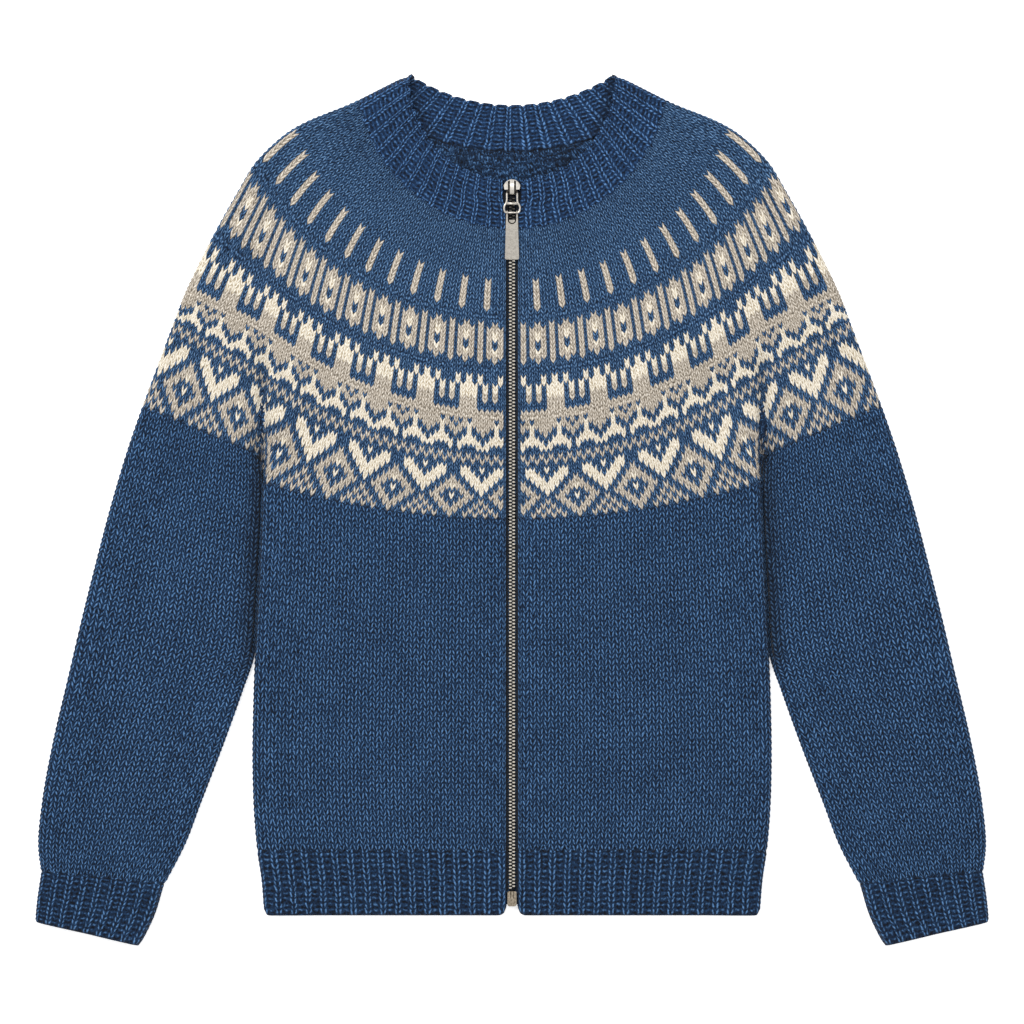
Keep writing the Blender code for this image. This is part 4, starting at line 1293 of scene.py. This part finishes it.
neck_count = 4 * (NECK_RIBS_FRONT + NECK_RIBS_BACK)
neck_number = np.arange(neck_count)
neck_seen_back = np.minimum(neck_number, neck_count - 1 - neck_number) >= 2 * NECK_RIBS_FRONT - 4


def neck_side(across, down):
    """Ribs outside, with the free edge at the first row."""
    return rib_lift(across, down, down, TUCK_ROWS)


def neck_inside(across, down):
    """Ribs inside, a column out of step, and at the back a ridge where the band was picked up:
    its height times a bell curve half a row from the last row."""
    seen = np.minimum(across, neck_count - across) > 2 * NECK_RIBS_FRONT - 2
    ridge = NECK_RIDGE * bell(down - NECK_ROWS + 0.5, 0.5) * seen
    return neck_side(across + 1, down) + ridge


def neck_ribs(odd, finer, profile):
    """The band of ribs round the neck, with purl columns at even or at odd places."""
    widths = NECK_RIB_WIDTHS[::-1] if odd else NECK_RIB_WIDTHS
    return band_of(
        neck_number, NECK_ROWS, finer, profile, edges=neck_edges(widths),
        yarns=np.tile(-((neck_number + odd) % 2.0), (NECK_ROWS, 1)), scallop=NECK_SCALLOP,
        ragged=profile is neck_side, chevron=RIB_CHEVRON,
    )


neckband = knit_piece(
    "neckband_knit", neck_outer[::-1], neck_inner[::-1], [neck_ribs(0, True, neck_side)], neck_sides,
    inner_skin=neck_ribs(1, neck_seen_back, neck_inside),
)

# %% [markdown]
# ## The zip's materials
# The teeth, slider, link and tab are zinc, cast in a die and plated, and the tapes are
# woven polyester. Plated zinc is bright but never even in tone, because it is tumbled
# and handled. Where a piece lies under another or low in its grooves, a fade along one
# axis darkens it nearly to black: painted shade.

# %% Metal and tape
# Near-black metal for painted shade
PAINTED_SHADE_METAL = "#191613"
GLOSS_GRAIN = 0.0012
THREADS_PER_M = 350.0


def cast_metal(name, dark, light, roughness, grain, fade=None):
    """Plated die-cast zinc: bright, a little uneven in tone and gloss, with the default IOR. A
    fade is an axis with two places on it in metres and the share of the plain colour at each;
    the rest is painted shade, a near-black metal."""
    material, shader = new_material(name, Metallic=1.0)
    place = add_node(material, "ShaderNodeTexCoord").outputs["Object"]
    tone = formula(material, speckle(material, place, grain, 1.3), ("ADD", 0.5))
    tone = formula(material, tone, ("SMOOTH", 0.0, 1.0, 0.0, 1.0))
    dark, light, painted_shade = linear(dark), linear(light), linear(PAINTED_SHADE_METAL)
    colour = add_node(material, "ShaderNodeMix", COLOURS, i0=tone, i6=dark, i7=light).outputs[2]
    # The fade mixes the colour towards the near-black metal: painted shade
    if fade:
        part = add_node(material, "ShaderNodeSeparateXYZ", Vector=place).outputs[fade[0]]
        unshaded_share = formula(material, part, ("SMOOTH", *fade[1:]))
        colour = add_node(material, "ShaderNodeMix", COLOURS, i0=unshaded_share, i6=painted_shade, i7=colour).outputs[2]
    gloss = formula(material, speckle(material, place, GLOSS_GRAIN, 0.2), ("ADD", roughness))
    material.node_tree.links.new(colour, shader.inputs["Base Color"])
    material.node_tree.links.new(gloss, shader.inputs["Roughness"])
    return material


def woven_tape(name):
    """Polyester tape: a herringbone of fine black threads, drawn 0.9 mm apart to show at all."""
    material, shader = new_material(name, Roughness=0.8, Specular_IOR_Level=0.3)
    place = add_node(material, "ShaderNodeTexCoord").outputs["Object"]
    weave = {"bands_direction": "DIAGONAL"}
    wave = add_node(material, "ShaderNodeTexWave", weave, Vector=place, Scale=THREADS_PER_M, Distortion=0.0)
    threads = wave.outputs["Fac"]
    shades = {"i6": linear("#0b0c0f"), "i7": linear("#23262c")}
    colour = add_node(material, "ShaderNodeMix", COLOURS, i0=threads, **shades).outputs[2]
    bump = add_node(material, "ShaderNodeBump", Height=threads, Strength=0.4, Distance=0.0002)
    material.node_tree.links.new(colour, shader.inputs["Base Color"])
    material.node_tree.links.new(bump.outputs[0], shader.inputs["Normal"])
    return material


tape_cloth = woven_tape("polyester tape, black twill")
# Fades of painted shade: the teeth darker under the tab and slider, the slider darker low down in its
# grooves and plates, and the link darker where its bar runs under the slider's bridge
TOOTH_PAINTED_SHADE = (1, 0.236, 0.241, 1.0, 0.16)
SLIDER_PAINTED_SHADE = (2, 0.0072, 0.0088, 0.05, 1.0)
LINK_PAINTED_SHADE = (1, 0.2652, 0.2662, 1.0, 0.05)
METALS = (
    ("plated zinc teeth, dull under the tab", "#cfc8ba", "#fffaf0", 0.3, 0.003, TOOTH_PAINTED_SHADE),
    ("die-cast zinc, dark in its hollows", "#b3ada4", "#e2ddd4", 0.4, 0.002, SLIDER_PAINTED_SHADE),
    ("zinc wire, worn dark where it turns", "#b9b3aa", "#e4dfd6", 0.4, 0.002, LINK_PAINTED_SHADE),
    ("die-cast zinc, satin nickel plate", "#918c84", "#b9b4ac", 0.5, 0.0012),
    ("die-cast zinc, tarnished", "#61584b", "#b9ad9b", 0.5, 0.0014),
    ("zinc, bare in a groove", "#14110f", "#1f1b18", 0.6, 0.002),
)
tooth_metal, slider_metal, link_metal, tab_metal, box_metal, groove_painted_shade = [
    cast_metal(*row) for row in METALS
]
print("zip finishes:", tape_cloth.name, [row[0] for row in METALS])

# %% [markdown]
# Hard pieces are closed outlines pushed up to a thickness, put together with Boolean
# modifiers, and softened by one Bevel. The sizes are those of the CAD model, with the
# curves drawn finer.

# %% Mesh helpers for the hard pieces
SHARP_FROM = math.radians(32)


def solid(name, points, faces, material):
    """A mesh object in metres from points in millimetres, with its faces turned outwards."""
    mesh = bpy.data.meshes.new(name)
    mesh.from_pydata((np.asarray(points, float) * MM).tolist(), [], [list(face) for face in faces])
    shape = bmesh.new()
    shape.from_mesh(mesh)
    bmesh.ops.recalc_face_normals(shape, faces=shape.faces)
    if shape.calc_volume(signed=True) < 0:
        bmesh.ops.reverse_faces(shape, faces=shape.faces)
    shape.to_mesh(mesh)
    shape.free()
    mesh.materials.append(material)
    mesh.polygons.foreach_set("use_smooth", np.ones(len(mesh.polygons), bool))
    return add_object(name, mesh)


def prism(name, outline, low, high, material, axis="z"):
    """An outline in (x, y) at a low and a high z, or one in (y, z) at two x, joined by walls."""
    outline = np.asarray(outline, float)
    levels = [np.full((len(outline), 1), low), np.full((len(outline), 1), high)]
    if axis == "z":
        points = [np.concatenate([outline, level], axis=1) for level in levels]
    else:
        points = [np.concatenate([level, outline], axis=1) for level in levels]
    number = np.arange(len(outline))
    after = np.roll(number, -1)
    walls = np.stack([number, after, after + len(outline), number + len(outline)], axis=-1)
    faces = [number.tolist(), (number + len(outline)).tolist()] + walls.tolist()
    return solid(name, np.concatenate(points), faces, material)


def apply_steps(thing):
    """Works an object's modifiers into its mesh."""
    graph = bpy.context.evaluated_depsgraph_get()
    made = bpy.data.meshes.new_from_object(thing.evaluated_get(graph))
    thing.modifiers.clear()
    thing.data = made
    return thing


def combine(body, tool, operation):
    """Cuts a tool from a body or welds it on, and removes the tool."""
    step = body.modifiers.new(operation.lower(), "BOOLEAN")
    step.operation = operation
    step.solver = "EXACT"
    step.object = tool
    apply_steps(body)
    bpy.data.objects.remove(tool)


def soften(thing, width):
    """A rounded bevel on every sharp edge, worked into the mesh."""
    step = thing.modifiers.new("bevel", "BEVEL")
    step.width = width * MM
    step.segments = 2
    step.limit_method = "ANGLE"
    step.angle_limit = SHARP_FROM
    step.harden_normals = True
    return apply_steps(thing)


def mirror_outline(half):
    """A half outline and its mirror image, as one closed outline."""
    half = np.asarray(half, float)
    return np.concatenate([half, half[::-1] * [-1.0, 1.0]])


def rounded(corners, steps=6):
    """Points of a smooth curve through given corners, by the spline over their numbers."""
    corners = np.asarray(corners, float)
    count = (len(corners) - 1) * steps + 1
    return spline(np.arange(len(corners)), corners, np.linspace(0, len(corners) - 1, count))


print("mirrored outline:", mirror_outline([(1, 0), (2, 1)]).tolist())

# %% [markdown]
# ## Tapes and teeth
# A zip is two woven tapes with a row of metal teeth clamped to each edge. Closed, the
# teeth of one side sit between those of the other, so each side shows a light metal
# face and then a dark gap, by turns. The teeth are blocks with chamfered tops, worked
# out for the whole chain at once, and the tape is a thin strip with a rounded edge.

# %% Tapes and teeth
TAPE_WIDTH = 16.0
TAPE_BOTTOM = 3.3
TAPE_TOP = 3.9
TAPE_TOP_Y = 272.0
ZIP_BOX_TOP_Y = -320.0
ZIP_BOX_LOW_Y = -332.6
ZIP_BOX_HEIGHT = 6.5
TAPE_INNER_EDGE = (
    (TAPE_TOP_Y, 7.4), (267.5, 7.4), (266.5, 5.3), (257.0, 5.3), (255.5, 3.3),
    (ZIP_BOX_TOP_Y + 1.0, 3.3), (ZIP_BOX_TOP_Y + 0.6, 4.55), (ZIP_BOX_LOW_Y, 4.55),
)
CHAIN_TOP_Y = 264.25
CHAIN_LOW_Y = -319.65
TOOTH_PITCH = 2.9
TOOTH_LENGTH = 1.4
TOOTH_INNER_X = 0.1
TOOTH_OUTER_X = 2.75
TOOTH_LOW = 3.35
TOOTH_HIGH = 5.9
TOOTH_CHAMFER = 0.4
CORD_HALF = 2.2
CORD_HEIGHTS = (3.6, 4.9)


def build_tapes():
    """Each tape as an outline with a cord along its inner edge."""
    tapes = []
    for side, sign in (("left", 1.0), ("right", -1.0)):
        inner_edge = np.array([(x, y) for y, x in TAPE_INNER_EDGE])
        outer_edge = np.array([(TAPE_WIDTH, y) for y in (ZIP_BOX_LOW_Y, TAPE_TOP_Y)])
        outline = np.concatenate([inner_edge, outer_edge]) * [sign, 1.0]
        tape = prism("zip_tape_" + side + "_woven", outline, TAPE_BOTTOM, TAPE_TOP, tape_cloth)
        tapes.append(soften(tape, 0.12))
    return tapes


def build_teeth():
    """Every tooth as a base of four points, four points up its sides and four on its top."""
    corner_x = np.array([0.0, 1.0, 1.0, 0.0])
    corner_y = np.array([-0.5, -0.5, 0.5, 0.5])
    rings = []
    for shrink, height in ((0, TOOTH_LOW), (0, TOOTH_HIGH - TOOTH_CHAMFER), (TOOTH_CHAMFER, TOOTH_HIGH)):
        x = TOOTH_INNER_X + shrink + corner_x * (TOOTH_OUTER_X - TOOTH_INNER_X - 2 * shrink)
        y = corner_y * (TOOTH_LENGTH - 2 * shrink)
        rings.append(np.stack([x, y, np.full(4, height)], axis=-1))
    tooth = np.concatenate(rings)
    number = np.arange(4)
    after = np.roll(number, -1)
    ring = np.stack([number, after, after + 4, number + 4], axis=-1)
    faces = np.concatenate([number[::-1][None], ring, ring + 4, number[None] + 8])
    count = int((CHAIN_TOP_Y - CHAIN_LOW_Y - TOOTH_PITCH) / TOOTH_PITCH)
    along_y = CHAIN_TOP_Y - TOOTH_PITCH - TOOTH_PITCH * np.arange(count)
    places = np.concatenate([along_y, along_y - TOOTH_PITCH / 2])
    sign = np.repeat([1.0, -1.0], count)
    points = np.broadcast_to(tooth, (2 * count, 12, 3)).copy()
    points[..., 0] *= sign[:, None]
    points[..., 1] += places[:, None]
    every = faces[None] + 12 * np.arange(2 * count)[:, None, None]
    mirror = sign < 0
    every[mirror] = every[mirror][:, :, ::-1]
    print(2 * count, "teeth,", TOOTH_PITCH, "mm apart on each side")
    teeth = solid("zip_chain_teeth", points.reshape(-1, 3), every.reshape(-1, 4).tolist(), tooth_metal)
    teeth.data.polygons.foreach_set("use_smooth", np.zeros(len(teeth.data.polygons), bool))
    return teeth


tapes = build_tapes()
chain = build_teeth()
cord_half = [(CORD_HALF, CHAIN_LOW_Y), (CORD_HALF, CHAIN_TOP_Y)]
chain_cord = prism("zip_chain_cord", mirror_outline(cord_half), *CORD_HEIGHTS, tape_cloth)

# %% [markdown]
# ## The slider
# The slider holds both rows of teeth between two plates, which a wedge joins at the
# top. Its crown carries a raised bridge, for the link to turn on, with a groove on each
# side. Plates, wedge and bridge are outlines pushed to a thickness and welded together.

# %% Slider
PLATE_LOW = (3.3, 4.2)
PLATE_HIGH = (6.2, 7.2)
CROWN_TOP = 9.0
CROWN_HALF = 7.0
CROWN_FOOT_HALF = 6.2
SLIDER_TOP_Y = 277.2
SLIDER_LOW_Y = 264.6
CROWN_LOW_Y = 268.6
BRIDGE_HALF = 1.8
BRIDGE_TOP = (
    (275.6, 8.5), (274.6, 9.6), (272.0, 10.5), (268.0, 10.7), (265.6, 10.2), (SLIDER_LOW_Y, 9.2),
)
BRIDGE_UNDER = ((SLIDER_LOW_Y, 6.7), (265.9, 6.7), (265.9, 9.4), (268.8, 9.4), (268.8, 8.5))
GROOVE = (BRIDGE_HALF, 3.3)
GROOVE_LOW = 5.0
GROOVE_TOP_Y = 276.5
FOOT = ((4.2, SLIDER_LOW_Y), (4.6, SLIDER_LOW_Y + 0.6), (4.6, CROWN_LOW_Y + 1.0))
WEDGE = ((1.8, 270.5), (2.6, 275.5))
WEDGE_HEIGHTS = (3.8, 6.6)


def build_slider():
    """Two plates held by a wedge, a raised crown, and the bridge over the link's bar."""
    angle = np.radians(np.linspace(8.0, 82.0, 14))
    shoulder = CROWN_LOW_Y + 2.0
    half = [(CROWN_FOOT_HALF, CROWN_LOW_Y)]
    half += list(zip(CROWN_HALF * np.cos(angle), shoulder + (SLIDER_TOP_Y - shoulder) * np.sin(angle)))
    crown = mirror_outline(half)
    foot = mirror_outline(FOOT)
    slider = prism("zip_slider_cast", crown, PLATE_HIGH[0], CROWN_TOP, slider_metal)
    combine(slider, prism("tool", foot, *PLATE_HIGH, slider_metal), "UNION")
    near, far = GROOVE
    low = CROWN_LOW_Y - 1
    trough = np.array([(near, low), (far, low), (far, GROOVE_TOP_Y - 0.8), (near, GROOVE_TOP_Y)])
    for side in ([-1.0, 1.0], [1.0, 1.0]):
        combine(slider, prism("tool", trough * side, GROOVE_LOW, CROWN_TOP + 1, slider_metal), "DIFFERENCE")
    for outline, heights in ((mirror_outline(WEDGE), WEDGE_HEIGHTS), (crown, PLATE_LOW), (foot, PLATE_LOW)):
        combine(slider, prism("tool", outline, *heights, slider_metal), "UNION")
    bridge = np.concatenate([rounded(BRIDGE_TOP, 4), BRIDGE_UNDER])
    combine(slider, prism("tool", bridge, -BRIDGE_HALF, BRIDGE_HALF, slider_metal, "x"), "UNION")
    return soften(slider, 0.3)


slider = build_slider()
print(slider.name, len(slider.data.polygons), "faces")

# %% [markdown]
# ## The link
# The link is one wire, bent to two legs and an oval ring. It turns on the slider's
# bridge at one end and carries the tab at the other, with a cross bar between. A round
# wire is a circle carried along a path, so one function makes all of its parts.

# %% Link
PULL_Z = 8.3
LINK_HINGE_Y = 267.4
TAB_HINGE_Y = 249.4
WIRE = 0.9
LINK_TOP = ((3.4, LINK_HINGE_Y), (4.1, LINK_HINGE_Y - 0.25), (4.35, LINK_HINGE_Y - 0.9))
LINK_RING = (
    (4.35, 260.0), (4.9, 257.6), (6.1, 255.6), (6.65, 253.6), (6.5, 251.7), (6.0, 250.3), (5.4, 249.6),
    (4.9, TAB_HINGE_Y),
)
CROSS_BAR = ((-4.8, 257.0), (0.0, 257.0), (4.8, 257.0))
CROSS_BAR_RADIUS = 1.25
WIRE_SIDES = 16


def wire_tube(path, radius, sides, closed):
    """A round wire along a level path: radius times sine and cosine about each path point."""
    path = np.asarray(path, float)
    if closed:
        heading = np.roll(path, -1, axis=0) - np.roll(path, 1, axis=0)
    else:
        heading = np.gradient(path, axis=0)
    heading = heading / np.hypot(heading[:, 0], heading[:, 1])[:, None]
    side = np.stack([heading[:, 1], -heading[:, 0]], axis=-1)
    angle = np.linspace(0.0, 2 * math.pi, sides, endpoint=False) + math.pi / sides
    plan = path[:, None, :] + side[:, None, :] * (radius * np.cos(angle))[None, :, None]
    height = np.broadcast_to(PULL_Z + radius * np.sin(angle), plan.shape[:2])
    points = np.concatenate([plan, height[..., None]], axis=-1).reshape(-1, 3)
    count = len(path)
    row = np.arange(count if closed else count - 1)[:, None]
    column = np.arange(sides)[None, :]
    here = row * sides + column
    beside = row * sides + (column + 1) % sides
    faces = np.stack([here, beside, beside + sides, here + sides], axis=-1).reshape(-1, 4)
    faces = (faces % (count * sides)).tolist()
    if not closed:
        faces += [list(range(sides)), list(range((count - 1) * sides, count * sides))]
    return points, faces


def build_link():
    """The link: a bar under the bridge, two legs, an oval ring and a cross bar above it."""
    half = np.concatenate([rounded(LINK_TOP, 3), rounded(LINK_RING, 4)])
    link = solid("pull_link_wire", *wire_tube(mirror_outline(half), WIRE, WIRE_SIDES, True), link_metal)
    bar = solid("tool", *wire_tube(CROSS_BAR, CROSS_BAR_RADIUS, WIRE_SIDES, False), link_metal)
    combine(link, bar, "UNION")
    link.data.polygons.foreach_set("use_smooth", np.ones(len(link.data.polygons), bool))
    return link


link = build_link()
print(link.name, len(link.data.polygons), "faces")

# %% [markdown]
# ## The pull tab
# The long tab hangs in the link's oval ring, by two eyes beside its opening. Under the
# opening a half-round groove leaves a bright half moon in the plate. The groove is cut
# out for real, and its floor and walls take a near-black metal: painted shade in the recess.

# %% Tab
TAB_LOW_Y = 210.0
TAB_THICK = 1.4
TAB_SHOULDERS = ((4.85, TAB_HINGE_Y - 1.3), (5.0, TAB_HINGE_Y - 6.0))
TAB_CORNER_X = 4.5
TAB_CORNER = 1.4
TAB_OPENING = (3.5, 251.0)
EYE_INNER = 1.1
EYE_OUTER = 1.7
EYE_X = (3.55, 4.75)
TAB_GROOVE = (2.55, 3.5)
TAB_GROOVE_DEEP = 1.2
TAB_GROOVE_Y = 243.2


def build_tab():
    """The pull tab: a plate with an opening, a recess, and two eyes round the ring's lower bar."""
    turn = np.radians(np.linspace(0.0, 90.0, 5))
    corner = TAB_CORNER * np.stack([np.cos(turn), 1.0 - np.sin(turn)], axis=-1) + [TAB_CORNER_X, TAB_LOW_Y]
    half = np.concatenate([TAB_SHOULDERS, corner])
    low = PULL_Z - TAB_THICK / 2
    high = PULL_Z + TAB_THICK / 2
    tab = prism("pull_tab_plate", mirror_outline(half), low, high, tab_metal)
    hole = mirror_outline((TAB_OPENING, (TAB_OPENING[0], TAB_GROOVE_Y)))
    combine(tab, prism("tool", hole, low - 1, high + 1, tab_metal), "DIFFERENCE")
    angle = np.radians(np.linspace(0.0, -180.0, 17))[:, None]
    arc = np.concatenate([np.cos(angle), np.sin(angle)], axis=1)
    groove = np.concatenate([TAB_GROOVE[1] * arc, TAB_GROOVE[0] * arc[::-1]]) + [0.0, TAB_GROOVE_Y + 0.01]
    combine(tab, prism("tool", groove, high - TAB_GROOVE_DEEP, high + 1, tab_metal), "DIFFERENCE")
    turn = np.linspace(0.0, 2 * math.pi, 28, endpoint=False)
    circle = np.stack([np.cos(turn), np.sin(turn)], axis=-1)
    rim, bore = [circle * radius + [TAB_HINGE_Y, PULL_Z] for radius in (EYE_OUTER, EYE_INNER)]
    for first, last in (np.negative(EYE_X)[::-1], EYE_X):
        eye = prism("tool", rim, first, last, tab_metal, "x")
        combine(eye, prism("bore", bore, first - 1, last + 1, tab_metal, "x"), "DIFFERENCE")
        combine(tab, eye, "UNION")
    # Faces in the groove take the near-black metal: painted shade
    tab.data.materials.append(groove_painted_shade)
    centres = np.array([face.center[:] for face in tab.data.polygons]) / MM
    inside = np.hypot(centres[:, 0], centres[:, 1] - TAB_GROOVE_Y) < TAB_GROOVE[1] + 0.1
    inside &= (centres[:, 1] < TAB_GROOVE_Y) & (centres[:, 2] > low + 0.1) & (centres[:, 2] < high - 0.1)
    tab.data.polygons.foreach_set("material_index", inside.astype(np.int32))
    print("faces in the tab's groove:", int(inside.sum()))
    return soften(tab, 0.15)


tab = build_tab()
print(tab.name, len(tab.data.polygons), "faces")

# %% [markdown]
# ## The box at the lower end
# At the hem the zip comes apart: a pin on one tape goes into a small box on the other.
# Closed, only the box shows, with a slit on each side of the pin.

# %% Zip box
HALF_BOX = (
    (3.3, ZIP_BOX_TOP_Y), (3.9, ZIP_BOX_TOP_Y - 0.8), (3.9, ZIP_BOX_LOW_Y + 1.8),
    (3.3, ZIP_BOX_LOW_Y + 0.6), (2.2, ZIP_BOX_LOW_Y),
)
SLIT = ((0.8, 1.0), (1.5, 1.0), (1.3, -6.0), (1.0, -6.0))
SLIT_LOW = 4.5
zip_box = prism("zip_box_cast", mirror_outline(HALF_BOX), TAPE_BOTTOM, ZIP_BOX_HEIGHT, box_metal)
for sign in (-1.0, 1.0):
    slit = np.array(SLIT) * [sign, 1.0] + [0.0, ZIP_BOX_TOP_Y]
    combine(zip_box, prism("tool", slit, SLIT_LOW, ZIP_BOX_HEIGHT + 1, box_metal), "DIFFERENCE")
soften(zip_box, 0.3)
print(zip_box.name, len(zip_box.data.polygons), "faces")

# %% [markdown]
# ## What rides on what
# Every piece names the CAD node that it stands for and the body that it moves with.
# The cloth is one body. Only the link and the tab move.


def declare_cloth(piece, nodes, outer, inner, rests_on):
    """Hides the CAD nodes that the piece replaces, and lets it ride on the garment."""
    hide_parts(*nodes)
    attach(piece, "garment")


def declare_hard(piece, nodes, body):
    """Hides the CAD nodes that the piece replaces, and lets it ride on its body."""
    if nodes:
        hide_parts(*nodes)
    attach(piece, body)


floor_name = "studio_floor"
declare_cloth(yoke, ["yoke"], yoke_outer, yoke_inner, ["back_knit", floor_name])
declare_cloth(neckband, ["neckband"], neck_outer, neck_inner, ["yoke_knit", floor_name])
declare_cloth(front_left, ["front_left"], front_outer, front_inner, ["back_knit"])
declare_cloth(front_right, ["front_right"], front_outer, front_inner, ["back_knit"])
declare_cloth(back, ["back"], back_outer, back_inner, [floor_name])
declare_cloth(hem_left, ["hem_front_left"], hem_outer, hem_inner, ["hem_back_knit"])
declare_cloth(hem_right, ["hem_front_right"], hem_outer, hem_inner, ["hem_back_knit"])
declare_cloth(hem_back, ["hem_back"], hem_back_outer, hem_back_inner, [floor_name])
for piece, side in zip(sleeves, ("left", "right")):
    declare_cloth(piece, ["sleeve_" + side], *sleeve_tables, [floor_name])
for piece, side in zip(cuffs, ("left", "right")):
    declare_cloth(piece, ["cuff_" + side], *cuff_tables, [floor_name])
for piece, side in zip(tapes, ("left", "right")):
    declare_hard(piece, ["zip_tape_" + side], "garment")
declare_hard(chain, ["zip_chain"], "garment")
declare_hard(chain_cord, [], "garment")
declare_hard(zip_box, ["zip_box"], "garment")
declare_hard(slider, ["zip_slider"], "garment")
declare_hard(link, ["pull_link"], "link")
declare_hard(tab, ["pull_tab"], "tab")

# %% [markdown]
# ## Floor, light and camera
# The photograph is a catalogue picture from straight above on white, lit so evenly
# that only the knit and the folds cast any shade. The floor is a pale sheet that glows
# a little, as a light table does, so that it stays white beside the wool.

# %% Floor
FLOOR_HALF = 4.0
FLOOR_Z = -0.0004


def studio_floor():
    """A plain white square that the sweater lies on."""
    mesh = bpy.data.meshes.new(floor_name)
    corners = FLOOR_HALF * np.array([(-1, -1, 0), (1, -1, 0), (1, 1, 0), (-1, 1, 0)])
    mesh.from_pydata(corners.tolist(), [], [(0, 1, 2, 3)])
    floor = add_object(floor_name, mesh)
    floor.location.z = FLOOR_Z
    material, _ = new_material(
        "opal acrylic light table", Roughness=1.0, Base_Color=linear("#f8f8f8"),
        Emission_Color=linear("#ffffff"), Emission_Strength=0.5,
    )
    mesh.materials.append(material)


studio_floor()
print("floor", 2 * FLOOR_HALF, "m wide")

# %% [markdown]
# A wide soft light stands towards the collar and a weaker one opposite, and an even
# white sky fills the rest.

# %% Lights
def soft_light(name, place, size, power):
    """A square area light that looks at the middle of the sweater."""
    lamp = bpy.data.lights.new(name, "AREA")
    lamp.size = size
    lamp.energy = power
    thing = add_object(name, lamp)
    thing.location = place
    x, y, z = place
    thing.rotation_euler = (math.atan2(math.hypot(x, y), z), 0.0, math.atan2(x, -y))


soft_light("key", (-0.9, 1.6, 2.2), 1.6, 52.0)
soft_light("fill", (1.4, -0.8, 2.6), 2.2, 14.0)
world = bpy.data.worlds.new("studio")
world.use_nodes = True
sky = world.node_tree.nodes["Background"].inputs
sky["Color"].default_value = (1.0, 1.0, 1.0, 1.0)
sky["Strength"].default_value = 0.68
bpy.context.scene.world = world
bpy.context.scene.view_settings.view_transform = "Standard"
print("sky strength", round(sky["Strength"].default_value, 2))

# %% [markdown]
# The camera looks straight down from 4.8 m with a long lens, so there is almost no
# perspective.

# %% Camera
FRAME_SIZE = 0.86016
FRAME_CENTRE_Y = -0.0017
LENS = 200.0
SENSOR = 36.0
camera_data = bpy.data.cameras.new("overhead")
camera_data.lens = LENS
camera_data.sensor_width = SENSOR
camera = add_object("overhead", camera_data)
camera.location = (0.0, FRAME_CENTRE_Y, FRAME_SIZE * LENS / SENSOR)
bpy.context.scene.camera = camera
print("camera height", round(camera.location.z, 3), "m")

# %% [markdown]
# The last cell brings the scene up to date.

# %% Finish
bpy.context.view_layer.update()
